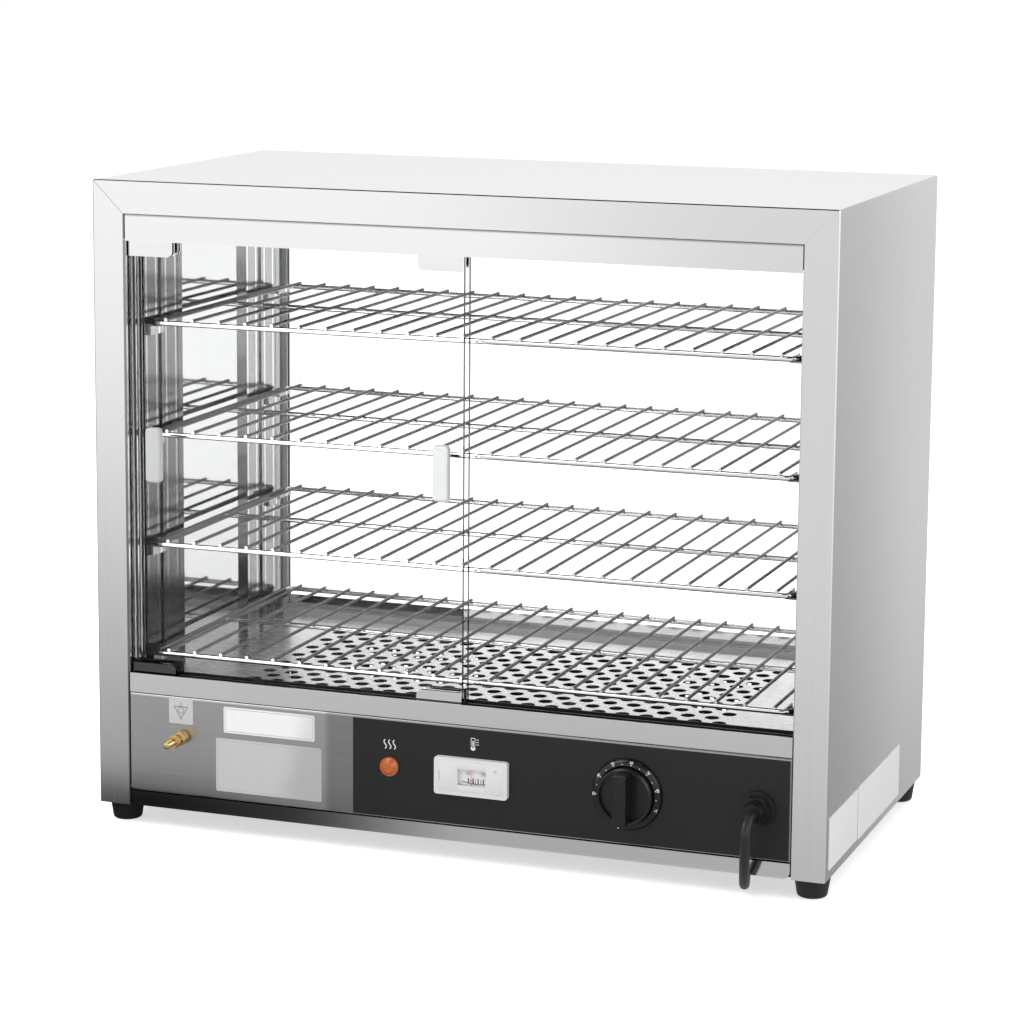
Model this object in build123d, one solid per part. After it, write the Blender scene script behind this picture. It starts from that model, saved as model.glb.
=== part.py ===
from build123d import *
import math
import os

# Countertop pie warmer: a stainless cabinet with four wire shelves over a perforated heat
# plate, two sliding glass doors on the service side and fixed glass on the far side.
# Millimetres. X to the right, Y to the far side, Z up. The service side faces -Y.
# The shapes are drawn about the middle of the cabinet, and saved with the origin under the
# middle of the whole object, its knob and stud counted and its cord left out.

# Cabinet
cabinet_w = 660.0
cabinet_d = 350.0
cabinet_h = 552.0
foot_h = 18.0
casing_t = 1.2
sheet = 1.0
corner_r = 2.5
face_edge_r = 0.9
flange_w = 28.5
seam_w = 0.5
seam_depth = 0.5
edge_gap = 1.5
touch_gap = 0.1

# Base, from the casing's lower edge
pan_lip_h = 13.0
pan_lip_corner_r = 6.0
panel_gap = 0.5
deck_h = 102.5
sill_h = 17.0
header_h = 23.5
fold_depth = 12.0
panel_bend_r = 3.0
lip_bend_r = 1.6

# Sliding doors
track_rib = 1.6
track_floor = 2.0
lane_w = 10.5
lane_divider = 2.0
track_drop = 1.5
glass_t = 4.0
door_w = 308.5
door_end_gap = 0.8
door_lift = 12.5
door_floor_gap = 0.5
clip_t = 1.0
clip_len = 41.0
clip_h = 22.0
clip_corner_r = 5.0
handle_w = 14.5
handle_h = 48.0
handle_t = 6.0
handle_edge_r = 2.4
handle_inset = 23.0
handle_z = 314.0
jamb_t = 0.8
jamb_rib_h = 3.0

# Far side glass
gasket_wall = 2.0
gasket_lap = 5.0
far_glass_inset = 13.0

# Inner walls and pilasters
wall_gap = 1.0
pilaster_w = 75.0
pilaster_proud = 5.0
pilaster_front_inset = 30.0
pilaster_far_inset = 34.0
pilaster_bead_at = 30.0
pilaster_step_at = 65.0
bead_w = 4.0
bead_h = 1.5

# Wire shelves
shelf_count = 4
shelf_first_z = 132.0
shelf_pitch = 98.0
shelf_end_inset = 32.0
shelf_side_gap = 4.0
frame_rod_d = 4.5
frame_corner_r = 9.0
wire_d = 3.0
wire_count = 23
wire_weld = 0.6
wire_first = 14.0
wire_end = 1.6
hook_w = 26.0
hook_reach = 12.5
hook_t = 1.5
hook_drop = 10.0
hook_lip = 3.0
hook_inset = 6.0

# Heat plate
hole_d = 12.5
hole_pitch_x = 21.5
hole_pitch_y = 16.0
hole_rows = 15
holes_in_row = 21
plate_ledge = 10.0
plate_gap = 0.4

# Heating elements
element_d = 8.0
element_drop = 22.0
element_x = 125.0
element_half_w = 75.0
element_front_inset = 80.0
element_far_inset = 70.0
element_bend_r = 30.0
pin_d = 3.2
pin_len = 14.0
bracket_w = 16.0
bracket_front_inset = 120.0
bracket_far_inset = 89.0

# Front controls, places measured from the module's left or right end and the casing's lower edge
fascia_t = 0.6
fascia_inset = 212.0
fascia_margin = 1.5
knob_inset = 140.5
knob_z = 57.6
dial_d = 66.0
dial_t = 2.0
knob_d = 48.0
knob_gap = 0.5
knob_skirt_t = 9.0
knob_wall = 2.5
knob_dish = 4.0
grip_w = 12.0
grip_t = 13.0
grip_r = 2.5
shaft_d = 6.0
shaft_len = 17.0
shaft_clear = 0.35
lamp_inset = 34.0
lamp_z = 59.5
lamp_d = 16.5
lamp_body_d = 12.0
lamp_body_len = 28.0
meter_inset = 109.5
meter_z = 58.0
meter_w = 66.0
meter_h = 32.5
meter_t = 5.0
meter_body_w = 58.0
meter_body_h = 25.0
meter_body_depth = 18.0
meter_wall = 1.5
window_w = 30.0
window_h = 14.0
window_t = 1.0
needle_len = 14.0
needle_hub_d = 5.0
needle_tail = 5.0
needle_w = 0.8
needle_t = 0.5
needle_clear = 1.6
gland_inset = 28.0
gland_z = 57.0
gland_flange_d = 30.0
gland_flange_t = 3.0
gland_hex = 22.0
gland_hex_t = 6.0
gland_nose_d = 20.0
gland_nose_end_d = 15.4
gland_nose_t = 9.0
gland_thread_d = 16.0
gland_nut = 22.0
gland_nut_t = 5.0

# Bonding terminal
bond_inset = 47.5
bond_z = 64.0
bond_d = 6.0
bond_len = 27.0
bond_nut = 10.0
bond_nut_t = 5.0
bond_washer_d = 12.0
bond_washer_t = 1.2
bond_nut_gap = 4.0
bond_neck_d = 5.0
bond_neck_t = 1.0

# Blank plates and stickers
label_t = 0.4
badge_inset = 133.0
badge_z = 85.5
badge_w = 86.0
badge_h = 23.0
info_inset = 132.5
info_z = 44.8
info_w = 100.0
info_h = 47.5
sticker_inset = 49.0
sticker_z = 89.0
sticker_w = 23.0
sticker_h = 22.5
rating_inset = 58.0
rating_z = 30.0
rating_w = 96.0
rating_h = 44.5
carton_inset = 183.5
carton_z = 29.5
carton_w = 150.0
carton_h = 46.0

# Feet
foot_top_d = 31.0
foot_low_d = 25.0
foot_edge_r = 3.0
foot_inset_x = 16.0
foot_inset_y = 22.0
foot_bore_d = 5.0
foot_recess_d = 11.0
foot_recess_h = 6.0
screw_head_d = 9.0
screw_head_t = 3.0
screw_d = 4.4
screw_grip = 4.0

# Mains cord, with the route of its free stretch
cord_d = 8.6
coil_turns = 4
coil_pitch = 9.3
coil_mid_r = 47.5
coil_x = 44.0
coil_y = 256.0
tie_gap = 0.4
tie_w = 9.0
tie_t = 1.6
plug_w = 37.0
plug_len = 38.0
plug_collar_len = 42.0
plug_collar_d = 13.0
plug_corner_r = 6.0
plug_pin_len = 17.0

# Values that follow from the ones above
half_w = cabinet_w / 2
half_d = cabinet_d / 2
case_z = foot_h
top_z = foot_h + cabinet_h
open_half_w = half_w - flange_w
module_half_w = open_half_w - edge_gap
face_y = half_d - casing_t - touch_gap
far_glass_y = half_d - far_glass_inset
pilaster_front_y = -half_d + pilaster_front_inset
pilaster_far_y = half_d - pilaster_far_inset - pilaster_w
shelf_half_d = half_d - shelf_end_inset
element_front_y = -half_d + element_front_inset
element_far_y = half_d - element_far_inset
bracket_at = (-half_d + bracket_front_inset, half_d - bracket_far_inset - bracket_w)
fascia_x0 = -module_half_w + fascia_inset
knob_x = module_half_w - knob_inset
lamp_x = fascia_x0 + lamp_inset
meter_x = fascia_x0 + meter_inset
gland_x = module_half_w - gland_inset
bond_x = -module_half_w + bond_inset
badge_x = -module_half_w + badge_inset
info_x = -module_half_w + info_inset
sticker_x = -module_half_w + sticker_inset
rating_y = -half_d + rating_inset
carton_y = -half_d + carton_inset
wall_x = module_half_w + wall_gap
deck_z = case_z + deck_h
plate_z = deck_z + sheet
sill_top_z = deck_z + sill_h
header_z = top_z - flange_w - header_h
ceiling_z = top_z - flange_w + 0.5
track_front_y = face_y - sheet - touch_gap
track_back_y = track_front_y - 3 * track_rib - 2 * lane_w - lane_divider + track_rib
lane_1_y = track_front_y - track_rib - lane_w / 2
lane_2_y = lane_1_y - lane_w - lane_divider
plate_half_d = track_back_y - plate_gap
lane_floor_z = plate_z + track_floor
lane_roof_z = ceiling_z - sheet - track_floor
door_low_z = lane_floor_z + door_floor_gap + clip_t
door_top_z = lane_roof_z - door_lift - clip_t
door_x0 = -module_half_w + door_end_gap
door_x1 = door_x0 + door_w
door_travel = -door_x0 - door_x1
pilaster_x = wall_x - pilaster_proud
shelf_half_w = pilaster_x - shelf_side_gap
panel_low_z = case_z + pan_lip_h + panel_gap
panel_top_z = deck_z
front_y = -face_y
panel_front_y = front_y
knob_reach = face_y + dial_t + knob_gap + knob_skirt_t + grip_t
stud_reach = face_y - fascia_t + bond_len
origin_y = (half_d - max(knob_reach, stud_reach)) / 2


def block(x0, x1, y0, y1, z0, z1):
    size = Box(abs(x1 - x0), abs(y1 - y0), abs(z1 - z0))
    return Pos((x0 + x1) / 2, (y0 + y1) / 2, (z0 + z1) / 2) * size


def rod_y(d, x, z, y0, y1):
    rod = Cylinder(d / 2, abs(y1 - y0))
    return Pos(x, (y0 + y1) / 2, z) * Rot(90, 0, 0) * rod


def hex_y(across, x, z, y0, y1):
    outline = RegularPolygon(across / 2, 6, major_radius=False)
    prism = extrude(outline, abs(y1 - y0) / 2, both=True)
    return Pos(x, (y0 + y1) / 2, z) * Rot(90, 0, 0) * prism


def plate_y(w, h, t, r, x, z, y):
    # A rounded plate facing the service side, with its front face at y.
    outline = extrude(RectangleRounded(w, h, r), t / 2, both=True)
    return Pos(x, y + t / 2, z) * Rot(90, 0, 0) * outline


def save(shape, name):
    export_step(shape.moved(Location((0, -origin_y, 0))), "parts/" + name + ".step")


def group(solids):
    return Compound(children=list(solids))


def mirrored_far(shape):
    return mirror(shape, Plane.XZ)


def bent_channel(y0, low_z, top_z, depth, low_r, top_r):
    # Sheet face at y0 between the module's ends, with its two folds running to the far side.
    outer = block(-module_half_w, module_half_w, y0, y0 + depth, low_z, top_z)
    inner = block(
        -module_half_w - 1, module_half_w + 1, y0 + sheet, y0 + depth + 1, low_z + sheet, top_z - sheet,
    )
    outer = fillet(front_edge(outer, 0), low_r)
    outer = fillet(front_edge(outer, -1), top_r)
    inner = fillet(front_edge(inner, 0), low_r - sheet)
    inner = fillet(front_edge(inner, -1), top_r - sheet)
    return outer - inner


def front_edge(solid, height_rank):
    return solid.edges().filter_by(Axis.X).group_by(Axis.Z)[height_rank].group_by(Axis.Y)[0]


# Casing: one bent wrap of top and sides with a picture-frame flange at each end.
def outer_casing():
    body = block(-half_w, half_w, -half_d, half_d, case_z, top_z)
    body = fillet(body.edges().filter_by(Axis.Y).group_by(Axis.Z)[-1], corner_r)
    inside = block(
        -half_w + casing_t, half_w - casing_t,
        -half_d + casing_t, half_d - casing_t,
        case_z - 1, top_z - casing_t,
    )
    body -= inside
    body -= block(
        -open_half_w, open_half_w, -half_d - 1, half_d + 1,
        case_z - 1, top_z - flange_w,
    )
    outer_edges = body.edges().filter_by(lambda e: on_outer_face_edge(e))
    body = chamfer(outer_edges, face_edge_r)
    for side in (-1, 1):
        body -= mitre_seam(side, -1)
        body -= mitre_seam(side, 1)
    return body


def on_outer_face_edge(edge):
    middle = edge.center()
    straight = edge.geom_type == GeomType.LINE
    on_face = abs(abs(middle.Y) - half_d) < 0.01
    at_side = abs(abs(middle.X) - half_w) < 0.01
    at_top = abs(middle.Z - top_z) < 0.01
    return straight and on_face and (at_side or at_top)


def mitre_seam(side, end):
    # Seam groove from the opening's corner to the casing's outer corner.
    length = flange_w * math.sqrt(2) - 2 * face_edge_r
    groove = Box(length, 2 * seam_depth, seam_w)
    x = side * (half_w - flange_w / 2)
    z = top_z - flange_w / 2
    return Pos(x, end * half_d, z) * Rot(0, -side * 45, 0) * groove


# Liner
def inner_wall(side):
    y = half_d - casing_t
    return block(side * wall_x, side * (wall_x + sheet), -y, y, case_z + sheet, ceiling_z)


def inner_ceiling():
    x = wall_x + sheet
    y = face_y - sheet - touch_gap
    return block(-x, x, -y, y, ceiling_z, ceiling_z + sheet)


def header():
    # The top fold leaves a groove under the casing's flange.
    depth = face_y - track_back_y
    # The upper fold is near square, so that the door track fits into it.
    fold_r = sheet + touch_gap
    whole = bent_channel(-face_y, header_z - 2 * lip_bend_r, ceiling_z, depth, lip_bend_r, fold_r)
    return whole & block(-half_w, half_w, -half_d, half_d, header_z, top_z)


def sill():
    lip = block(-module_half_w, module_half_w, -face_y, -face_y + sheet, deck_z, sill_top_z)
    floor = block(
        -module_half_w, module_half_w, -face_y, -plate_half_d + plate_ledge,
        deck_z, plate_z,
    )
    return lip + floor


def rib_spans():
    # The three ribs of a two-lane track, from the front to the back.
    first = -track_front_y
    middle = -lane_1_y + lane_w / 2
    last = -lane_2_y + lane_w / 2
    return (
        (first, first + track_rib),
        (middle, middle + lane_divider),
        (last, last + track_rib),
    )


def door_track(floor_z, rib_z):
    # Double channel: a web with three ribs that rise or hang from it.
    toward = 1 if rib_z > floor_z else -1
    spans = rib_spans()
    x = module_half_w - touch_gap
    track = block(-x, x, spans[0][0], spans[-1][1], floor_z, floor_z + toward * track_floor)
    for y0, y1 in spans:
        track += block(-x, x, y0, y1, floor_z, rib_z)
    return track


def door_jamb(side):
    z0 = sill_top_z + touch_gap
    z1 = header_z - touch_gap
    spans = rib_spans()
    x = side * wall_x
    jamb = block(x, x - side * jamb_t, spans[0][0], spans[-1][1], z0, z1)
    for y0, y1 in spans[1:]:
        jamb += block(x, x - side * (jamb_t + jamb_rib_h), y0, y1, z0, z1)
    return jamb


# Far side glazing
def far_glass():
    x = wall_x - gasket_wall
    z0 = plate_z + gasket_wall
    z1 = ceiling_z - sheet - gasket_wall
    return block(-x, x, far_glass_y - glass_t / 2, far_glass_y + glass_t / 2, z0, z1)


def glass_gasket():
    x = wall_x
    y = glass_t / 2 + gasket_wall
    z0 = plate_z
    z1 = ceiling_z - sheet
    frame = block(-x, x, far_glass_y - y, far_glass_y + y, z0, z1)
    frame -= block(
        -x + gasket_lap, x - gasket_lap, far_glass_y - 2 * y, far_glass_y + 2 * y,
        z0 + gasket_lap, z1 - gasket_lap,
    )
    slot = block(
        -x + gasket_wall, x - gasket_wall,
        far_glass_y - glass_t / 2, far_glass_y + glass_t / 2,
        z0 + gasket_wall, z1 - gasket_wall,
    )
    return frame - slot


def far_panel():
    z0 = panel_low_z
    panel = block(-module_half_w, module_half_w, face_y - sheet, face_y, z0, panel_top_z)
    for z in (z0, panel_top_z - sheet):
        panel += block(
            -module_half_w, module_half_w, face_y - fold_depth, face_y, z, z + sheet,
        )
    vent_w = 4.0
    vent_h = 30.0
    vent_pitch = 12.0
    for middle_x in (-160.0, 160.0):
        for i in range(10):
            x = middle_x + (i - 4.5) * vent_pitch
            slot = extrude(SlotOverall(vent_h, vent_w, rotation=90), 3 * sheet, both=True)
            panel -= Pos(x, face_y - sheet / 2, (z0 + panel_top_z) / 2) * Rot(90, 0, 0) * slot
    return panel


# Shelf supports
def pilaster(side, y0):
    z0 = plate_z + sheet + touch_gap
    z1 = ceiling_z - sheet - track_floor - touch_gap
    x_wall = side * wall_x
    x_face = side * pilaster_x
    strip = block(x_wall, x_face, y0, y0 + pilaster_w, z0, z1)
    strip -= block(
        x_wall + side, x_face + side * sheet, y0 + sheet, y0 + pilaster_w - sheet,
        z0 - 1, z1 + 1,
    )
    bead_y = y0 + pilaster_bead_at
    strip += block(x_face + side * sheet, x_face - side * bead_h, bead_y, bead_y + bead_w, z0, z1)
    step_y = y0 + pilaster_step_at
    groove = block(x_face - side, x_face + side * sheet / 2, step_y, step_y + sheet, z0 - 1, z1 + 1)
    return strip - groove


def shelf_z(level):
    return case_z + shelf_first_z + level * shelf_pitch


def shelf_hook(side, y, level):
    top = shelf_z(level) - frame_rod_d / 2
    x_face = side * (pilaster_x - bead_h)
    x_back = side * pilaster_x
    x_end = x_face - side * hook_reach
    tab = block(x_face, x_end, y, y + hook_w, top - hook_t, top)
    leg = block(x_face, x_face - side * hook_t, y, y + hook_w, top - hook_drop, top)
    lip = block(x_end, x_end + side * hook_t, y, y + hook_w, top - hook_t, top + hook_lip)
    foot = block(x_back, x_face - side * hook_t, y + hook_t, y + hook_t + 3, top - hook_drop, top)
    return tab + leg + lip + foot


def hook_places():
    front = pilaster_front_y + hook_inset
    far = pilaster_far_y + pilaster_w - hook_inset - hook_w
    return (front, far)


def shelf_hooks():
    hooks = []
    for level in range(shelf_count):
        for side in (-1, 1):
            for y in hook_places():
                hooks.append(shelf_hook(side, y, level))
    return group(hooks)


def shelf_frame(z):
    # Four straight rods joined by quarter bends.
    x = shelf_half_w - frame_rod_d / 2
    y = shelf_half_d
    bend_x = x - frame_corner_r
    bend_y = y - frame_corner_r
    pieces = []
    for side in (-1, 1):
        pieces.append(rod_y(frame_rod_d, side * x, z, -bend_y, bend_y))
        rod_x = Rot(0, 90, 0) * Cylinder(frame_rod_d / 2, 2 * bend_x)
        pieces.append(Pos(0, side * y, z) * rod_x)
    section = Pos(frame_corner_r, 0, 0) * Rot(90, 0, 0) * Circle(frame_rod_d / 2)
    bend = revolve(section, Axis.Z, 90)
    for x_mid, y_mid, turn in (
        (bend_x, bend_y, 0), (-bend_x, bend_y, 90), (-bend_x, -bend_y, 180), (bend_x, -bend_y, 270),
    ):
        pieces.append(Pos(x_mid, y_mid, z) * Rot(0, 0, turn) * bend)
    return pieces[0] + pieces[1:]


def wire_shelf(level):
    z = shelf_z(level)
    shelf = shelf_frame(z)
    mid_len = 2 * shelf_half_w - frame_rod_d
    shelf += Pos(0, 0, z) * Rot(0, 90, 0) * Cylinder(frame_rod_d / 2, mid_len)
    wire_z = z + frame_rod_d / 2 + wire_d / 2 - wire_weld
    wire_half = shelf_half_d + wire_end
    first_x = -shelf_half_w + wire_first + frame_rod_d / 2
    pitch = -2 * first_x / (wire_count - 1)
    wires = []
    for i in range(wire_count):
        wires.append(rod_y(wire_d, first_x + i * pitch, wire_z, -wire_half, wire_half))
    return shelf + wires


# Heat plate: staggered round holes in rows.
def heat_plate():
    x = wall_x
    plate = block(-x, x, -plate_half_d, plate_half_d, plate_z, plate_z + sheet)
    holes = []
    for row in range(hole_rows):
        count = holes_in_row - (row + 1) % 2
        y = (row - (hole_rows - 1) / 2) * hole_pitch_y
        for i in range(count):
            hole_x = (i - (count - 1) / 2) * hole_pitch_x
            holes.append(Pos(hole_x, y, plate_z + sheet / 2) * Cylinder(hole_d / 2, 3 * sheet))
    return plate - holes


def element_z():
    return deck_z - element_drop


def heating_element(side):
    z = element_z()
    x0 = side * element_x - element_half_w
    x1 = side * element_x + element_half_w
    points = (
        (x0, element_front_y, z),
        (x0, element_far_y, z),
        (x1, element_far_y, z),
        (x1, element_front_y, z),
    )
    path = FilletPolyline(*points, radius=element_bend_r)
    profile = Plane(origin=points[0], z_dir=(0, 1, 0)) * Circle(element_d / 2)
    element = sweep(profile, path)
    for x in (x0, x1):
        element += rod_y(pin_d, x, z, element_front_y, element_front_y - pin_len)
    return element


def element_brackets():
    # Bridges that stand on the base pan and carry the elements' straight legs.
    brackets = []
    z0 = case_z + sheet
    z1 = element_z() - element_d / 2
    half = element_half_w + element_d
    for side in (-1, 1):
        for y in bracket_at:
            x = side * element_x
            bridge = block(x - half, x + half, y, y + bracket_w, z0, z1)
            bridge -= block(
                x - half + sheet, x + half - sheet, y - 1, y + bracket_w + 1,
                z0 - 1, z1 - sheet,
            )
            brackets.append(bridge)
    return group(brackets)


# Base pan: floor with a polished front lip that shows under the control panel.
def base_pan():
    x = half_w - casing_t
    y = half_d - casing_t
    pan = block(-x, x, -y, y, case_z, case_z + sheet)
    notch_x = module_half_w - pan_lip_corner_r
    for side in (-1, 1):
        pan -= block(side * notch_x, side * (half_w + 1), -y - 1, -y + pan_lip_corner_r, case_z - 1, case_z + 2)
    lip_outline = block(
        -module_half_w, module_half_w, front_y, front_y + sheet, case_z, case_z + pan_lip_h,
    )
    low_corners = lip_outline.edges().filter_by(Axis.Y).group_by(Axis.Z)[0]
    pan += fillet(low_corners, pan_lip_corner_r)
    pan += block(-module_half_w, module_half_w, face_y - sheet, face_y, case_z, case_z + pan_lip_h)
    for place in foot_places():
        pan -= Pos(place[0], place[1], case_z) * Cylinder(screw_d / 2, 6 * sheet)
    return pan


def foot_places():
    x = half_w - foot_inset_x
    y = half_d - foot_inset_y
    return ((-x, -y), (x, -y), (-x, y), (x, y))


def foot(place):
    body = Pos(0, 0, foot_h / 2) * Cone(foot_low_d / 2, foot_top_d / 2, foot_h)
    body = fillet(body.edges().group_by(Axis.Z)[0], foot_edge_r)
    body -= Pos(0, 0, foot_h / 2) * Cylinder(foot_bore_d / 2, 2 * foot_h)
    body -= Pos(0, 0, foot_recess_h / 2) * Cylinder(foot_recess_d / 2, foot_recess_h)
    return Pos(place[0], place[1], 0) * body


def foot_screw(place):
    head_z = foot_recess_h - screw_head_t
    head = Pos(0, 0, head_z + screw_head_t / 2) * Cylinder(screw_head_d / 2, screw_head_t)
    top = foot_h + sheet + screw_grip
    shank = Pos(0, 0, (foot_recess_h + top) / 2) * Cylinder(screw_d / 2, top - foot_recess_h)
    return Pos(place[0], place[1], 0) * (head + shank)


# Control panel with its holes and the dark fascia on its right part.
def control_holes(y0, y1):
    holes = rod_y(shaft_d + 3, knob_x, case_z + knob_z, y0, y1)
    holes += rod_y(lamp_body_d + 0.4, lamp_x, case_z + lamp_z, y0, y1)
    holes += rod_y(gland_thread_d + 0.4, gland_x, case_z + gland_z, y0, y1)
    holes += block(
        meter_x - meter_body_w / 2 - 0.3, meter_x + meter_body_w / 2 + 0.3, y0, y1,
        case_z + meter_z - meter_body_h / 2 - 0.3, case_z + meter_z + meter_body_h / 2 + 0.3,
    )
    return holes


def control_panel():
    y0 = panel_front_y + fascia_t
    panel = bent_channel(y0, panel_low_z, panel_top_z, fold_depth, lip_bend_r, panel_bend_r)
    panel -= control_holes(front_y - 5, front_y + 5)
    panel -= rod_y(bond_d + 0.4, bond_x, case_z + bond_z, front_y - 5, front_y + 5)
    return panel


def panel_fascia():
    y0 = panel_front_y
    fascia = block(
        fascia_x0, module_half_w - fascia_margin, y0, y0 + fascia_t,
        panel_low_z + lip_bend_r, panel_top_z - panel_bend_r,
    )
    return fascia - control_holes(front_y - 5, front_y + 5)


def front_label(x, z, w, h):
    y = panel_front_y + fascia_t - label_t
    return plate_y(w, h, label_t, 1.5, x, case_z + z, y)


def side_label(y, z, w, h):
    outline = extrude(RectangleRounded(w, h, 1.5), label_t / 2, both=True)
    return Pos(half_w + label_t / 2, y, case_z + z) * Rot(0, 90, 0) * Rot(0, 0, 90) * outline


# Bonding terminal: a stud through the panel with nuts and washers.
def bonding_stud():
    # The free end beyond the outer nut is set off by a neck, as where a thread runs out.
    z = case_z + bond_z
    y0 = panel_front_y + fascia_t
    stud = rod_y(bond_d, bond_x, z, y0 - bond_len, y0 + sheet + bond_nut_t + bond_washer_t)
    neck_y = y0 - 2 * bond_washer_t - 2 * bond_nut_t - bond_nut_gap
    neck = rod_y(bond_d + 1, bond_x, z, neck_y - bond_neck_t, neck_y)
    return stud - (neck - rod_y(bond_neck_d, bond_x, z, neck_y - 2 * bond_neck_t, neck_y + 1))


def bonding_nuts():
    z = case_z + bond_z
    y = panel_front_y + fascia_t
    pieces = []
    for thickness, kind in (
        (bond_washer_t, "washer"), (bond_nut_t, "nut"), (bond_nut_gap, "space"),
        (bond_washer_t, "washer"), (bond_nut_t, "nut"),
    ):
        if kind == "washer":
            pieces.append(rod_y(bond_washer_d, bond_x, z, y - thickness, y))
        if kind == "nut":
            pieces.append(hex_y(bond_nut, bond_x, z, y - thickness, y))
        y -= thickness
    inner_y = panel_front_y + fascia_t + sheet
    pieces.append(hex_y(bond_nut, bond_x, z, inner_y, inner_y + bond_nut_t))
    bore = rod_y(bond_d, bond_x, z, front_y - 2 * bond_len, front_y + 2 * bond_len)
    return group([piece - bore for piece in pieces])


# Pilot lamp
def lamp_lens():
    z = case_z + lamp_z
    rim = rod_y(lamp_d, lamp_x, z, panel_front_y - 2, panel_front_y)
    dome = Pos(lamp_x, panel_front_y - 2, z) * Rot(90, 0, 0) * Cone(lamp_d / 2 - 1, lamp_d / 2 - 4, 3)
    dome = Pos(0, -1.5, 0) * dome
    return rim + dome


def lamp_body():
    z = case_z + lamp_z
    y1 = panel_front_y + lamp_body_len
    body = rod_y(lamp_body_d, lamp_x, z, panel_front_y, y1)
    for dx in (-3, 3):
        body += block(lamp_x + dx - 0.4, lamp_x + dx + 0.4, y1, y1 + 8, z - 2.4, z + 2.4)
    return body


# Thermometer: a bezel case with a scale card, a balanced needle and a clear window.
def meter_inner_y():
    return panel_front_y - meter_t + window_t


def thermometer_case():
    z = case_z + meter_z
    bezel = plate_y(meter_w, meter_h, meter_t, 2.5, meter_x, z, panel_front_y - meter_t)
    back = block(
        meter_x - meter_body_w / 2, meter_x + meter_body_w / 2,
        panel_front_y, panel_front_y + meter_body_depth,
        z - meter_body_h / 2, z + meter_body_h / 2,
    )
    body = bezel + back
    y_front = panel_front_y - meter_t - 1
    body -= block(
        meter_x - window_w / 2, meter_x + window_w / 2, y_front, panel_front_y,
        z - window_h / 2, z + window_h / 2,
    )
    body -= block(
        meter_x - meter_body_w / 2 + meter_wall, meter_x + meter_body_w / 2 - meter_wall,
        meter_inner_y(), panel_front_y + meter_body_depth - meter_wall,
        z - meter_body_h / 2 + meter_wall, z + meter_body_h / 2 - meter_wall,
    )
    return body


def thermometer_window():
    z = case_z + meter_z
    y = panel_front_y - meter_t
    return block(
        meter_x - window_w / 2, meter_x + window_w / 2,
        y, y + window_t, z - window_h / 2, z + window_h / 2,
    )


def card_y():
    return meter_inner_y() + 3.0


def thermometer_card():
    z = case_z + meter_z
    half_x = meter_body_w / 2 - meter_wall
    half_z = meter_body_h / 2 - meter_wall
    card = block(
        meter_x - half_x, meter_x + half_x, card_y(), card_y() + 0.8, z - half_z, z + half_z,
    )
    pivot_d = 1.2
    card += rod_y(pivot_d, meter_x, needle_pivot_z(), card_y() - 1.6, card_y())
    return card


def needle_pivot_z():
    return case_z + meter_z + meter_body_h / 2 - meter_wall - needle_tail - needle_clear


def thermometer_needle():
    # A thin pointer whose hub and tail balance it about its pivot.
    y0 = card_y() - 1.4
    y1 = y0 + needle_t
    z = needle_pivot_z()
    needle = rod_y(needle_hub_d, meter_x, z, y0, y1)
    needle += block(meter_x - needle_w / 2, meter_x + needle_w / 2, y0, y1, z - needle_len, z)
    needle += block(meter_x - 1.3, meter_x + 1.3, y0, y1, z, z + needle_tail)
    return needle - rod_y(1.2 + 2 * shaft_clear, meter_x, z, y0 - 1, y1 + 1)


# Thermostat with its dial ring, shaft and knob.
def dial_ring():
    z = case_z + knob_z
    ring = rod_y(dial_d, knob_x, z, panel_front_y - dial_t, panel_front_y)
    ring = chamfer(ring.edges().group_by(Axis.Y)[0], 0.8)
    return ring - rod_y(shaft_d + 3, knob_x, z, front_y - 10, front_y + 1)


def thermostat_shaft():
    z = case_z + knob_z
    y0 = panel_front_y - dial_t - shaft_len
    return rod_y(shaft_d, knob_x, z, y0, thermostat_y0() + 6)


def thermostat_y0():
    return panel_front_y + fascia_t + sheet


def thermostat_body():
    z = case_z + knob_z
    y0 = thermostat_y0()
    body = block(knob_x - 20, knob_x + 20, y0, y0 + 3, z - 14, z + 14)
    body += block(knob_x - 17, knob_x + 17, y0 + 3, y0 + 32, z - 16, z + 16)
    for dx in (-10, 0, 10):
        body += block(knob_x + dx - 0.4, knob_x + dx + 0.4, y0 + 32, y0 + 41, z - 3, z + 3)
    bore = rod_y(shaft_d + 2 * shaft_clear, knob_x, z, y0 - 1, y0 + 6 + 2 * shaft_clear)
    return body - bore


def thermostat_knob():
    # A round skirt dished on both sides of one grip bar, pointer downwards when off.
    z = case_z + knob_z
    y = panel_front_y - dial_t - knob_gap
    y_skirt = y - knob_skirt_t
    skirt = rod_y(knob_d, knob_x, z, y_skirt, y)
    skirt = chamfer(skirt.edges().group_by(Axis.Y)[0], knob_wall / 2)
    skirt -= rod_y(knob_d - 2 * knob_wall, knob_x, z, y_skirt - 1, y_skirt + knob_dish)
    bar = block(
        knob_x - grip_w / 2, knob_x + grip_w / 2, y_skirt - grip_t, y_skirt + knob_dish,
        z - knob_d / 2 + knob_wall / 2, z + knob_d / 2 - knob_wall,
    )
    bar = fillet(bar.edges().filter_by(Axis.Y), grip_r)
    bar = fillet(bar.edges().group_by(Axis.Y)[0], grip_r / 2)
    bore_end = panel_front_y - dial_t - shaft_len
    return skirt + bar - rod_y(shaft_d, knob_x, z, bore_end, y + 1)


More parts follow.
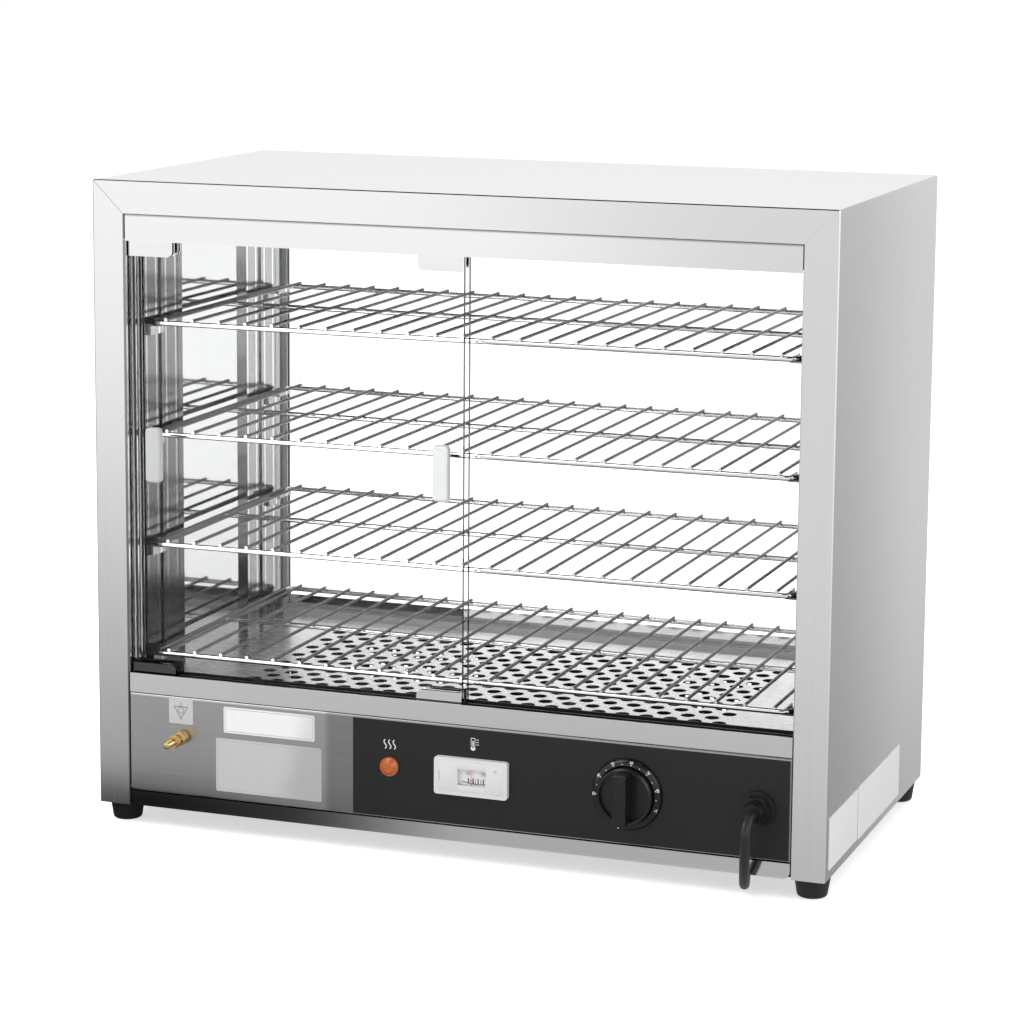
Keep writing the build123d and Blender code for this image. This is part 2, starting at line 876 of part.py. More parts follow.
# Sensors: bulbs clipped under the heat plate, with thin capillary tubes.
def sensor(bulb_x, bulb_y, start, low_z):
    bulb_d = 6.0
    bulb_len = 60.0
    tube_d = 2.0
    z = deck_z - bulb_d / 2 - 1.0
    bulb = rod_y(bulb_d, bulb_x, z, bulb_y, bulb_y + bulb_len)
    points = (
        start,
        (start[0], start[1] + 14, start[2]),
        (start[0], start[1] + 14, low_z),
        (bulb_x, start[1] + 14, low_z),
        (bulb_x, start[1] + 14, z),
        (bulb_x, bulb_y, z),
    )
    path = FilletPolyline(*points, radius=5.0)
    tube = sweep(Plane(origin=start, z_dir=(0, 1, 0)) * Circle(tube_d / 2), path)
    return bulb + tube


def thermostat_sensor():
    start = (knob_x + 14, thermostat_y0() + 32, case_z + knob_z + 10)
    return sensor(knob_x + 60, -60.0, start, case_z + 22)


def thermometer_sensor():
    start = (meter_x, panel_front_y + meter_body_depth, case_z + meter_z)
    return sensor(meter_x - 40, -60.0, start, case_z + 30)


# Mains inlet: terminal block on the base pan and the wires that leave it.
def terminal_block():
    x = terminal_x()
    y = terminal_y()
    z = case_z + sheet
    body = block(x - 20, x + 20, y - 10, y + 10, z, z + 16)
    for dx in (-12, 0, 12):
        body -= Pos(x + dx, y, z + 13) * Cylinder(2.5, 8)
    return body


def terminal_x():
    return gland_x - 20


def terminal_y():
    return front_y + 75


def wiring_loom():
    # Insulated wires between the terminal block, the thermostat, the lamp and the elements.
    z = case_z + sheet + 6
    x = terminal_x()
    y = terminal_y() - 10
    t_y = thermostat_y0() + 41
    l_y = panel_front_y + lamp_body_len + 8
    e_y = element_front_y - pin_len
    e_z = element_z()
    lamp_level = case_z + lamp_z
    knob_level = case_z + knob_z
    link_x = element_x - element_half_w + 1.5
    routes = (
        ((x - 12, y, z), (x - 12, y - 14, z), (knob_x + 10, y - 14, z),
         (knob_x + 10, y - 14, knob_level), (knob_x + 10, t_y, knob_level)),
        ((x, y, z), (x, y - 22, z), (lamp_x + 3, y - 22, z),
         (lamp_x + 3, y - 22, lamp_level), (lamp_x + 3, l_y, lamp_level)),
        ((x + 12, y, z), (x + 12, y - 30, z), (element_x - element_half_w, y - 30, z),
         (element_x - element_half_w, y - 30, e_z), (element_x - element_half_w, e_y, e_z)),
        ((link_x, e_y, e_z), (link_x, e_y - 12, e_z), (-link_x, e_y - 12, e_z), (-link_x, e_y, e_z)),
    )
    return group([loom_wire(points) for points in routes])


def loom_wire(points):
    wire_od = 2.6
    bends = []
    for before, corner, after in zip(points, points[1:], points[2:]):
        shorter = min((Vector(*corner) - Vector(*before)).length, (Vector(*after) - Vector(*corner)).length)
        bends.append(min(6.0, 0.45 * shorter))
    path = FilletPolyline(*points, radius=bends)
    start = Vector(*points[0])
    direction = Vector(*points[1]) - start
    return sweep(Plane(origin=start, z_dir=direction) * Circle(wire_od / 2), path)


# Gland: hexagon body clamped through the panel, with the cord through its nose.
def cable_gland():
    z = case_z + gland_z
    y = panel_front_y
    gland = rod_y(gland_flange_d, gland_x, z, y - gland_flange_t, y)
    y -= gland_flange_t
    gland += hex_y(gland_hex, gland_x, z, y - gland_hex_t, y)
    y -= gland_hex_t
    nose = Pos(gland_x, y - gland_nose_t / 2, z) * Rot(90, 0, 0)
    gland += nose * Cone(gland_nose_d / 2, gland_nose_end_d / 2, gland_nose_t)
    thread_y = panel_front_y + fascia_t + sheet
    gland += rod_y(gland_thread_d, gland_x, z, panel_front_y, thread_y + gland_nut_t + 2)
    nut = hex_y(gland_nut, gland_x, z, thread_y, thread_y + gland_nut_t)
    return gland + nut


def gland_end_y():
    return panel_front_y - gland_flange_t - gland_hex_t - gland_nose_t


# Cord: a free stretch from the gland to the floor and under the cabinet, then a coil
# behind it, a tie round the turns and a plug.
def cord_route():
    z = case_z + gland_z
    low = cord_d / 2
    y = gland_end_y()
    coil_start_y = coil_y - coil_outer_r()
    return (
        (gland_x, y, z),
        (gland_x, y - 20, z),
        (gland_x, y - 20, low + 42),
        (gland_x - 10, y + 16, low),
        (gland_x - 24, y + 72, low),
        (gland_x - 47, y + 134, low),
        (gland_x - 76, y + 193, low),
        (gland_x - 104, y + 268, low),
        (coil_x + 98, coil_start_y - 32, low),
        (coil_x + 59, coil_start_y, low),
        (coil_x + cord_d, coil_start_y, low),
    )


def corner_radii(points):
    radii = []
    for before, corner, after in zip(points, points[1:], points[2:]):
        run_in = Vector(*corner) - Vector(*before)
        run_out = Vector(*after) - Vector(*corner)
        turn = math.radians(run_in.get_angle(run_out))
        radii.append(0.45 * min(run_in.length, run_out.length) / math.tan(turn / 2))
    return radii


def power_cord():
    points = cord_route()
    radii = corner_radii(points)
    path = FilletPolyline(*points, radius=radii)
    profile = Plane(origin=points[0], z_dir=(0, -1, 0)) * Circle(cord_d / 2)
    tube = sweep(profile, path)
    section = math.pi * cord_d ** 2 / 4
    print("cord radii", [round(radius, 1) for radius in radii])
    print("cord free length", round(path.length, 1), "volume over section", round(tube.volume / section, 1))
    return tube


def coil_outer_r():
    return coil_mid_r + coil_pitch * coil_turns / 4


def coil_point(turn):
    # The coil winds in to half of its turns, climbs one layer, and winds out again.
    half = coil_turns / 2
    reach = min(turn, coil_turns - turn)
    radius = coil_outer_r() - coil_pitch * reach
    climb = min(max((turn - half + 0.25) / 0.5, 0.0), 1.0)
    level = climb * climb * (3 - 2 * climb)
    angle = -math.pi / 2 - 2 * math.pi * turn
    return Vector(
        coil_x + radius * math.cos(angle),
        coil_y + radius * math.sin(angle),
        cord_d / 2 + coil_pitch * level,
    )


def coil_tangent(turn):
    step = 0.001
    return (coil_point(turn + step) - coil_point(turn - step)).normalized()


def biarc(start, start_dir, end, end_dir):
    # Two arcs from start to end that keep both directions.
    span = end - start
    both = start_dir + end_dir
    a = both.dot(both) - 4
    b = -2 * span.dot(both)
    c = span.dot(span)
    if abs(a) < 1e-9:
        reach = -c / b
    else:
        reach = (-b - math.sqrt(b * b - 4 * a * c)) / (2 * a)
    middle = (start + start_dir * reach + end - end_dir * reach) * 0.5
    middle_dir = (end - end_dir * reach - start - start_dir * reach).normalized()
    first = Edge.make_tangent_arc(start, start_dir, middle)
    second = Edge.make_tangent_arc(middle, middle_dir, end)
    return [first, second]


def coil_path():
    steps = coil_turns * 4
    edges = []
    places = [coil_point(i / 4) for i in range(steps + 1)]
    ways = [coil_tangent(i / 4) for i in range(steps + 1)]
    ways[0] = Vector(-1, 0, 0)
    ways[-1] = Vector(-1, 0, 0)
    for i in range(steps):
        edges += biarc(places[i], ways[i], places[i + 1], ways[i + 1])
    lead_in = places[0] - ways[0] * cord_d
    lead_out = places[-1] + ways[-1] * cord_d
    edges.insert(0, Edge.make_line(lead_in, places[0]))
    edges.append(Edge.make_line(places[-1], lead_out))
    return Wire(edges)


def coil_least_gap():
    # Least distance between points of the coil that are over a third of a turn apart.
    per_turn = 90
    count = coil_turns * per_turn
    points = [coil_point(i / per_turn) for i in range(count + 1)]
    least = 1000.0
    for i in range(0, count + 1, 2):
        for j in range(i + per_turn // 3, count + 1):
            least = min(least, (points[i] - points[j]).length)
    return least - cord_d


def cord_coil():
    path = coil_path()
    profile = Plane(origin=path.position_at(0), z_dir=path.tangent_at(0)) * Circle(cord_d / 2)
    coil = sweep(profile, path)
    section = math.pi * cord_d ** 2 / 4
    print("coil length", round(path.length, 1), "volume over section", round(coil.volume / section, 1))
    print("coil least gap", round(coil_least_gap(), 2))
    return coil


def coil_tie():
    # A flat strap over both layers, on the side of the coil that faces away from the cabinet.
    far_outer_r = coil_outer_r() - coil_pitch / 2
    far_inner_r = far_outer_r - coil_pitch * (coil_turns / 2 - 1)
    y0 = coil_y + far_inner_r - cord_d / 2 - tie_gap
    y1 = coil_y + far_outer_r + cord_d / 2 + tie_gap
    high = cord_d + coil_pitch + tie_gap
    strap = block(coil_x - tie_w / 2, coil_x + tie_w / 2, y0 - tie_t, y1 + tie_t, 0, high + tie_t)
    strap -= block(coil_x - tie_w, coil_x + tie_w, y0, y1, -1, high)
    return strap


def plug():
    # Flat-pin plug that lies beside the coil on its edge, with a tapered sleeve on the cord.
    z = cord_d / 2 + coil_pitch
    y = coil_y - coil_outer_r()
    x0 = coil_x - cord_d
    x1 = x0 - plug_collar_len
    x2 = x1 - plug_len
    sleeve = Pos((x0 + x1) / 2, y, z) * Rot(0, -90, 0)
    body = block(x2, x1, y - plug_w / 2, y + plug_w / 2, 0, 2 * z)
    body = fillet(body.edges().filter_by(Axis.Z), plug_corner_r)
    body += sleeve * Cone(cord_d / 2 + tie_gap / 2, plug_collar_d / 2, plug_collar_len)
    for side in (-1, 1):
        pin = Box(plug_pin_len, 6.3, 1.6)
        turned = Pos(x2 - plug_pin_len / 2, y + side * 6.9, z - 2) * Rot(-side * 30, 0, 0)
        body += turned * pin
    body += Pos(x2 - plug_pin_len / 2, y, z + 6.5) * Box(plug_pin_len, 1.6, 6.3)
    return body


# Sliding doors: one glass each, with a pull and four corner clips.
def lane_y(lane):
    return -lane_1_y if lane == 1 else -lane_2_y


def door_glass(lane):
    y = lane_y(lane)
    return block(door_x0, door_x1, y - glass_t / 2, y + glass_t / 2, door_low_z, door_top_z)


def door_handle(lane, x):
    y = lane_y(lane) - glass_t / 2
    z = case_z + handle_z
    grip = block(
        x - handle_w / 2, x + handle_w / 2, y - handle_t, y,
        z - handle_h / 2, z + handle_h / 2,
    )
    grip = fillet(grip.edges().filter_by(Axis.Y), handle_edge_r + 1)
    return fillet(grip.edges().group_by(Axis.Y)[0], handle_edge_r)


def door_clip(lane, x0, x1, top, inner_side):
    # A folded cap over the glass edge, with its free inner corner rounded.
    y = lane_y(lane)
    edge_z = door_top_z if top else door_low_z
    way = 1 if top else -1
    z_out = edge_z + way * clip_t
    z_in = z_out - way * clip_h
    half = glass_t / 2 + clip_t
    cap = block(x0, x1, y - half, y + half, z_out, z_in)
    corner_x = x1 if inner_side > 0 else x0
    corner = cap.edges().filter_by(Axis.Y).sort_by_distance(Vertex(corner_x, y, z_in))[0]
    cap = fillet(corner, clip_corner_r)
    return cap - block(x0 - 1, x1 + 1, y - glass_t / 2, y + glass_t / 2, edge_z, z_in - way)


def door_clips(lane):
    clips = []
    for top in (False, True):
        clips.append(door_clip(lane, door_x0, door_x0 + clip_len, top, 1))
        clips.append(door_clip(lane, door_x1 - clip_len, door_x1, top, -1))
    return group(clips)


def cabinet_parts():
    far_sill = mirrored_far(sill())
    far_header = mirrored_far(header())
    low_track = door_track(plate_z, sill_top_z - track_drop)
    high_track = door_track(ceiling_z - sheet, header_z + track_drop)
    return {
        "outer_casing": outer_casing(),
        "left_inner_wall": inner_wall(-1),
        "right_inner_wall": inner_wall(1),
        "inner_ceiling": inner_ceiling(),
        "front_header": header(),
        "far_header": far_header,
        "front_sill": sill(),
        "far_sill": far_sill,
        "lower_door_track": low_track,
        "upper_door_track": high_track,
        "door_jambs": group([door_jamb(-1), door_jamb(1)]),
        "far_glass": far_glass(),
        "glass_gasket": glass_gasket(),
        "far_panel": far_panel(),
        "front_pilasters": group([pilaster(side, pilaster_front_y) for side in (-1, 1)]),
        "far_pilasters": group([pilaster(side, pilaster_far_y) for side in (-1, 1)]),
        "shelf_hooks": shelf_hooks(),
        "heat_plate": heat_plate(),
        "base_pan": base_pan(),
        "feet": group([foot(place) for place in foot_places()]),
        "foot_screws": group([foot_screw(place) for place in foot_places()]),
    }


def heating_parts():
    return {
        "left_heating_element": heating_element(-1),
        "right_heating_element": heating_element(1),
        "element_brackets": element_brackets(),
        "terminal_block": terminal_block(),
        "wiring_loom": wiring_loom(),
    }


def control_parts():
    return {
        "control_panel": control_panel(),
        "panel_fascia": panel_fascia(),
        "dial_ring": dial_ring(),
        "thermostat_shaft": thermostat_shaft(),
        "thermostat_body": thermostat_body(),
        "thermostat_knob": thermostat_knob(),
        "thermostat_sensor": thermostat_sensor(),
        "lamp_lens": lamp_lens(),
        "lamp_body": lamp_body(),
        "thermometer_case": thermometer_case(),
        "thermometer_window": thermometer_window(),
        "thermometer_card": thermometer_card(),
        "thermometer_needle": thermometer_needle(),
        "thermometer_sensor": thermometer_sensor(),
        "bonding_stud": bonding_stud(),
        "bonding_nuts": bonding_nuts(),
        "front_plates": group([
            front_label(badge_x, badge_z, badge_w, badge_h),
            front_label(info_x, info_z, info_w, info_h),
        ]),
        "bonding_sticker": front_label(sticker_x, sticker_z, sticker_w, sticker_h),
        "side_labels": group([
            side_label(rating_y, rating_z, rating_w, rating_h),
            side_label(carton_y, carton_z, carton_w, carton_h),
        ]),
    }


def door_parts():
    return {
        "left_door_glass": door_glass(1),
        "left_door_handle": door_handle(1, door_x0 + handle_inset),
        "left_door_clips": door_clips(1),
        "right_door_glass": door_glass(2),
        "right_door_handle": door_handle(2, door_x1 - handle_inset),
        "right_door_clips": door_clips(2),
    }


def cord_parts():
    return {
        "cable_gland": cable_gland(),
        "power_cord": power_cord(),
        "cord_coil": cord_coil(),
        "coil_tie": coil_tie(),
        "plug": plug(),
    }


def main():
    os.makedirs("parts", exist_ok=True)
    for parts in (cabinet_parts(), heating_parts(), control_parts(), door_parts(), cord_parts()):
        for name, shape in parts.items():
            save(shape, name)
    for level in range(shelf_count):
        save(wire_shelf(level), "wire_shelf_" + str(level + 1))
    print("door travel", round(door_travel, 2), "origin", round(origin_y, 3))
    print("knob axis", knob_x, "height", case_z + knob_z)
    print("needle pivot", meter_x, "height", round(needle_pivot_z(), 2))


main()
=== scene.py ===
import math

import bmesh
import bpy
from mathutils import Matrix, Vector


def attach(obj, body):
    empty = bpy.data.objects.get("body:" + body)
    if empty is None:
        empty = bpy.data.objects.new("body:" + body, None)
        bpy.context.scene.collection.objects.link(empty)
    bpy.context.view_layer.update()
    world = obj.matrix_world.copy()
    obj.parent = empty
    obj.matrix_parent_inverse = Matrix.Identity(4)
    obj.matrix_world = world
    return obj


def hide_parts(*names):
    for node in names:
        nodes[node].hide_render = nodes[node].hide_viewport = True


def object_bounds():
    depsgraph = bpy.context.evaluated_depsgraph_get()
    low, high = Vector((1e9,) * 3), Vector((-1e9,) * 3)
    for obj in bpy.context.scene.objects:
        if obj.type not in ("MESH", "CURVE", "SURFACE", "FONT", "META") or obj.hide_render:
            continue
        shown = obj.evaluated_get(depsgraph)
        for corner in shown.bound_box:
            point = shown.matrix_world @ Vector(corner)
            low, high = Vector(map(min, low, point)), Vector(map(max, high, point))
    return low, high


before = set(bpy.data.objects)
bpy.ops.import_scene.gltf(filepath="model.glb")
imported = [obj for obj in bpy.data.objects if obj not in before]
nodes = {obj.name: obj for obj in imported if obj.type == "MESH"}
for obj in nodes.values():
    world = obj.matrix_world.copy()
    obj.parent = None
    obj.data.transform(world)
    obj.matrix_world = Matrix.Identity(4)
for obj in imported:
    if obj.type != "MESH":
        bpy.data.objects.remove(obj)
cad_low, cad_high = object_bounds()

# Millimetres of the drawing, which is drawn about the cabinet's middle, to metres of the row.
MM = 0.001
SHIFT_Y = 12.55
CASE_Z = 18.0
CASE_HALF_W = 330.0


def P(x, y, z):
    return Vector((x * MM, (y + SHIFT_Y) * MM, z * MM))


# Places of the pieces that the materials and details below refer to, in millimetres.
FACE_Y = -173.7
PLATE_FACE_Y = -173.5
KNOB = (159.5, CASE_Z + 57.6)
METER = (21.5, CASE_Z + 58.0)
LAMP = (-54.0, CASE_Z + 59.5)
GLAND = (272.0, CASE_Z + 57.0)
GLAND_END_Y = FACE_Y - 18.0
KNOB_FRONT_Y = -198.2
BOND = (-252.5, CASE_Z + 64.0)
CORD_D = 8.6


# Camera at the photograph's place, solved from the cabinet's corners. The lens is shifted a
# little, because the photograph keeps the cabinet's uprights nearly parallel.
CAMERA_AT = (948.9, -2634.8, 815.1)
CAMERA_YAW, CAMERA_PITCH, CAMERA_ROLL = -0.3485, -0.1598, 0.0076
FOCAL_PIXELS, FRAME_PIXELS = 3205.5, 1024.0


def add_camera():
    forward = Vector((
        math.sin(CAMERA_YAW) * math.cos(CAMERA_PITCH),
        math.cos(CAMERA_YAW) * math.cos(CAMERA_PITCH),
        math.sin(CAMERA_PITCH),
    ))
    right = Vector((math.cos(CAMERA_YAW), -math.sin(CAMERA_YAW), 0))
    up = right.cross(forward)
    right_rolled = right * math.cos(CAMERA_ROLL) + up * math.sin(CAMERA_ROLL)
    up_rolled = up * math.cos(CAMERA_ROLL) - right * math.sin(CAMERA_ROLL)
    data = bpy.data.cameras.new("camera")
    data.sensor_width = 36.0
    data.lens = FOCAL_PIXELS * data.sensor_width / FRAME_PIXELS
    data.shift_y = -0.1
    data.clip_end = 100.0
    camera = bpy.data.objects.new("camera", data)
    bpy.context.scene.collection.objects.link(camera)
    basis = Matrix((right_rolled, up_rolled, -forward)).transposed()
    camera.matrix_world = Matrix.Translation(P(*CAMERA_AT)) @ basis.to_4x4()
    bpy.context.scene.camera = camera


add_camera()


# Small helpers for meshes
def new_mesh_object(name, bm, smooth=True, angle=35):
    mesh = bpy.data.meshes.new(name)
    bm.to_mesh(mesh)
    bm.free()
    obj = bpy.data.objects.new(name, mesh)
    bpy.context.scene.collection.objects.link(obj)
    if smooth:
        for polygon in mesh.polygons:
            polygon.use_smooth = True
        mesh.set_sharp_from_angle(angle=math.radians(angle))
    return obj


def place(obj, body, slot, *materials):
    obj.data.materials.clear()
    for material in materials:
        obj.data.materials.append(material)
    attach(obj, body)
    return obj


def lathe_y(name, x, z, profile, segments=64):
    # Turns a profile of (y, radius) in millimetres about an axis along Y.
    bm = bmesh.new()
    rings = []
    for y, radius in profile:
        if radius <= 0:
            rings.append([bm.verts.new(P(x, y, z))])
            continue
        ring = []
        for i in range(segments):
            a = 2 * math.pi * i / segments
            ring.append(bm.verts.new(P(x + radius * math.cos(a), y, z + radius * math.sin(a))))
        rings.append(ring)
    for low, high in zip(rings, rings[1:]):
        for i in range(segments):
            j = (i + 1) % segments
            corners = [low[i % len(low)], low[j % len(low)],
                       high[j % len(high)], high[i % len(high)]]
            face = []
            for corner in corners:
                if corner not in face:
                    face.append(corner)
            if len(face) > 2:
                bm.faces.new(face)
    for ring in (rings[0], rings[-1]):
        if len(ring) > 1:
            bm.faces.new(ring)
    bmesh.ops.recalc_face_normals(bm, faces=bm.faces)
    return new_mesh_object(name, bm)


def slab(bm, x0, x1, y0, y1, z0, z1, bevel=0.0, segments=2):
    # A box in millimetres added to a bmesh, with its edges rounded.
    size = (abs(x1 - x0), abs(y1 - y0), abs(z1 - z0))
    middle = P((x0 + x1) / 2, (y0 + y1) / 2, (z0 + z1) / 2)
    made = bmesh.ops.create_cube(bm, size=1.0, matrix=Matrix.Translation(middle) @ Matrix.Diagonal(
        (size[0] * MM, size[1] * MM, size[2] * MM, 1)))
    if bevel > 0:
        edges = set()
        for vertex in made["verts"]:
            edges.update(vertex.link_edges)
        bmesh.ops.bevel(bm, geom=list(edges), offset=bevel * MM, segments=segments, profile=0.5,
                        affect="EDGES", clamp_overlap=True)
    return bm


# Material helpers
FINE_BUMP = 0.0002  # depth of grain in metres


def new_material(name):
    material = bpy.data.materials.new(name)
    material.use_nodes = True
    tree = material.node_tree
    tree.nodes.clear()
    output = tree.nodes.new("ShaderNodeOutputMaterial")
    return material, tree, output


def even(scale):
    # The same scale along each axis.
    return (scale, scale, scale)


def add(tree, kind, **inputs):
    node = tree.nodes.new(kind)
    for key, value in inputs.items():
        node.inputs[key.replace("_", " ")].default_value = value
    return node


def coords(tree, scale):
    where = tree.nodes.new("ShaderNodeTexCoord")
    mapping = tree.nodes.new("ShaderNodeMapping")
    mapping.inputs["Scale"].default_value = scale
    tree.links.new(where.outputs["Object"], mapping.inputs["Vector"])
    return mapping.outputs["Vector"]


def noise(tree, scale, detail=3.0, rough=0.5):
    node = tree.nodes.new("ShaderNodeTexNoise")
    node.inputs["Scale"].default_value = 1.0
    node.inputs["Detail"].default_value = detail
    node.inputs["Roughness"].default_value = rough
    tree.links.new(coords(tree, scale), node.inputs["Vector"])
    return node.outputs["Fac"]


def ramp(tree, value, low, high):
    node = tree.nodes.new("ShaderNodeMapRange")
    node.inputs["To Min"].default_value = low
    node.inputs["To Max"].default_value = high
    tree.links.new(value, node.inputs["Value"])
    return node.outputs["Result"]


def grey(value):
    return (value, value, value)


def mix_color(tree, factor, low, high):
    node = tree.nodes.new("ShaderNodeMix")
    node.data_type = "RGBA"
    node.inputs[6].default_value = (*low, 1)
    node.inputs[7].default_value = (*high, 1)
    tree.links.new(factor, node.inputs[0])
    return node.outputs[2]


def bump(tree, height, strength, distance):
    node = tree.nodes.new("ShaderNodeBump")
    node.inputs["Strength"].default_value = strength
    node.inputs["Distance"].default_value = distance
    tree.links.new(height, node.inputs["Height"])
    return node.outputs["Normal"]


def metal(name, dark, light, rough_low, rough_high, grain, bump_strength=0.05):
    # Rolled or brushed metal: grain is the noise scale along each axis, low along the brushing.
    material, tree, output = new_material(name)
    shader = add(tree, "ShaderNodeBsdfPrincipled", Metallic=1.0)
    streaks = noise(tree, grain, 4.0, 0.6)
    clouds = noise(tree, even(7), 2.0)
    rough = math_node(tree, "ADD", ramp(tree, streaks, rough_low, rough_high),
                      ramp(tree, clouds, -0.03, 0.03))
    finish_shader(tree, shader, output, mix_color(tree, streaks, dark, light), rough,
                  bump(tree, streaks, bump_strength, FINE_BUMP))
    return material


def plastic(name, dark, light, rough_low, rough_high, grain=900.0, bump_strength=0.08):
    material, tree, output = new_material(name)
    shader = add(tree, "ShaderNodeBsdfPrincipled")
    fine = noise(tree, even(grain), 2.0)
    clouds = noise(tree, even(25), 3.0)
    finish_shader(tree, shader, output, mix_color(tree, clouds, dark, light),
                  ramp(tree, clouds, rough_low, rough_high),
                  bump(tree, fine, bump_strength, FINE_BUMP))
    return material


def math_node(tree, operation, *values):
    node = tree.nodes.new("ShaderNodeMath")
    node.operation = operation
    for socket, value in zip(node.inputs, values):
        if isinstance(value, (int, float)):
            socket.default_value = value
        else:
            tree.links.new(value, socket)
    return node.outputs[0]


def split_coords(tree, kind):
    # The x, y and z of the object's own coordinates or of its surface normal.
    where = tree.nodes.new("ShaderNodeTexCoord")
    split = tree.nodes.new("ShaderNodeSeparateXYZ")
    tree.links.new(where.outputs[kind], split.inputs[0])
    return split.outputs


def step_up(tree, value, low, high, to_low=0.0, to_high=1.0):
    node = tree.nodes.new("ShaderNodeMapRange")
    node.interpolation_type = "SMOOTHSTEP"
    for name, number in (("From Min", low), ("From Max", high),
                         ("To Min", to_low), ("To Max", to_high)):
        node.inputs[name].default_value = number
    tree.links.new(value, node.inputs["Value"])
    return node.outputs["Result"]


def blend_values(tree, factor, low, high):
    node = tree.nodes.new("ShaderNodeMix")
    for socket, value in zip((node.inputs[0], node.inputs[2], node.inputs[3]), (factor, low, high)):
        if isinstance(value, (int, float)):
            socket.default_value = value
        else:
            tree.links.new(value, socket)
    return node.outputs[0]


def scaled_color(tree, color, factor):
    node = tree.nodes.new("ShaderNodeVectorMath")
    node.operation = "SCALE"
    tree.links.new(color, node.inputs[0])
    tree.links.new(factor, node.inputs["Scale"])
    return node.outputs[0]


def light_path(tree, *names):
    path = tree.nodes.new("ShaderNodeLightPath")
    total = path.outputs[names[0]]
    for name in names[1:]:
        total = math_node(tree, "MAXIMUM", total, path.outputs[name])
    return total


def mix_shaders(tree, factor, low, high):
    node = tree.nodes.new("ShaderNodeMixShader")
    tree.links.new(factor, node.inputs[0])
    tree.links.new(low, node.inputs[1])
    tree.links.new(high, node.inputs[2])
    return node.outputs[0]


def finish_shader(tree, shader, output, base, rough, surface_normal=None):
    tree.links.new(base, shader.inputs["Base Color"])
    tree.links.new(rough, shader.inputs["Roughness"])
    if surface_normal:
        tree.links.new(surface_normal, shader.inputs["Normal"])
    if output:
        tree.links.new(shader.outputs[0], output.inputs["Surface"])


def casing_steel():
    # Brushed along each strip: upright on the sides and posts, level on the top and its flange.
    material, tree, output = new_material("brushed_casing")
    shader = add(tree, "ShaderNodeBsdfPrincipled", Metallic=1.0)
    upright = noise(tree, (1100, 1100, 5), 4.0, 0.6)
    level = noise(tree, (5, 1100, 1100), 4.0, 0.6)
    place_x, place_y, place_z = split_coords(tree, "Object")
    normal_x, normal_y = split_coords(tree, "Normal")[:2]
    below_top = math_node(tree, "SUBTRACT", float(cad_high.z), place_z)
    in_from_side = math_node(tree, "SUBTRACT", CASE_HALF_W * MM,
                             math_node(tree, "ABSOLUTE", place_x))
    on_post = math_node(tree, "GREATER_THAN", below_top, in_from_side)
    on_side = math_node(tree, "GREATER_THAN", math_node(tree, "ABSOLUTE", normal_x), 0.5)
    towards_front = math_node(tree, "ABSOLUTE", normal_y)
    is_upright = math_node(tree, "MAXIMUM", on_post, on_side)
    streaks = blend_values(tree, is_upright, level, upright)
    clouds = noise(tree, even(5), 2.0)
    base = mix_color(tree, streaks, grey(0.83), (0.895, 0.895, 0.89))
    # Painted shade and painted highlight, set by where each point lies on the casing.
    # Tones set to readings of the photograph: the side is darkest near the front and at
    # the top, the front flange palest at the upper left.
    near_painted_shading = step_up(tree, place_z, 0.05, 0.55, 0.66, 0.47)
    far_painted_shading = step_up(tree, place_z, 0.05, 0.55, 1.08, 0.67)
    side_painted_shading = blend_values(tree, step_up(tree, place_y, -0.19, 0.17), near_painted_shading, far_painted_shading)
    left_painted_shading = step_up(tree, place_z, 0.05, 0.45, 0.80, 1.12)
    right_painted_shading = step_up(tree, place_z, 0.05, 0.55, 1.14, 0.86)
    flange_painted_shading = blend_values(tree, step_up(tree, place_x, -0.1, 0.30), left_painted_shading, right_painted_shading)
    on_flange = math_node(tree, "GREATER_THAN", towards_front, 0.9)
    painted_shading = blend_values(tree, on_flange, step_up(tree, clouds, 0.3, 0.7, 0.97, 1.0), flange_painted_shading)
    painted_shading = blend_values(tree, on_side, painted_shading, side_painted_shading)
    # The small bevel round the front has painted shade on the top and left and a painted highlight
    # on the right.
    slanted = math_node(tree, "MULTIPLY", math_node(tree, "GREATER_THAN", towards_front, 0.3),
                        math_node(tree, "LESS_THAN", towards_front, 0.88))
    bevel_painted_shading = step_up(tree, normal_x, 0.2, 0.5, 0.10, 1.15)
    painted_shading = blend_values(tree, slanted, painted_shading, bevel_painted_shading)
    rough = math_node(tree, "ADD", ramp(tree, streaks, 0.20, 0.32), ramp(tree, clouds, -0.03, 0.03))
    finish_shader(tree, shader, output, scaled_color(tree, base, painted_shading), rough,
                  bump(tree, streaks, 0.06, FINE_BUMP))
    return material


def header_steel():
    # Polished strip over the doors, with the shade of the flange above it painted on and a painted
    # light that dims towards the right.
    material, tree, output = new_material("header_steel")
    shader = add(tree, "ShaderNodeBsdfPrincipled", Metallic=1.0)
    streaks = noise(tree, (5, 900, 900), 4.0, 0.6)
    base = mix_color(tree, streaks, grey(0.90), grey(0.95))
    place_x, _, place_z = split_coords(tree, "Object")
    painted_fade_across = step_up(tree, place_x, 0.0, 0.30, 1.04, 0.80)
    painted_flange_shade = step_up(tree, place_z, 0.5385, 0.5415, 1.0, 0.16)
    painted_shading = math_node(tree, "MULTIPLY", painted_fade_across, painted_flange_shade)
    finish_shader(tree, shader, output, scaled_color(tree, base, painted_shading),
                  ramp(tree, streaks, 0.14, 0.22), bump(tree, streaks, 0.03, FINE_BUMP))
    return material


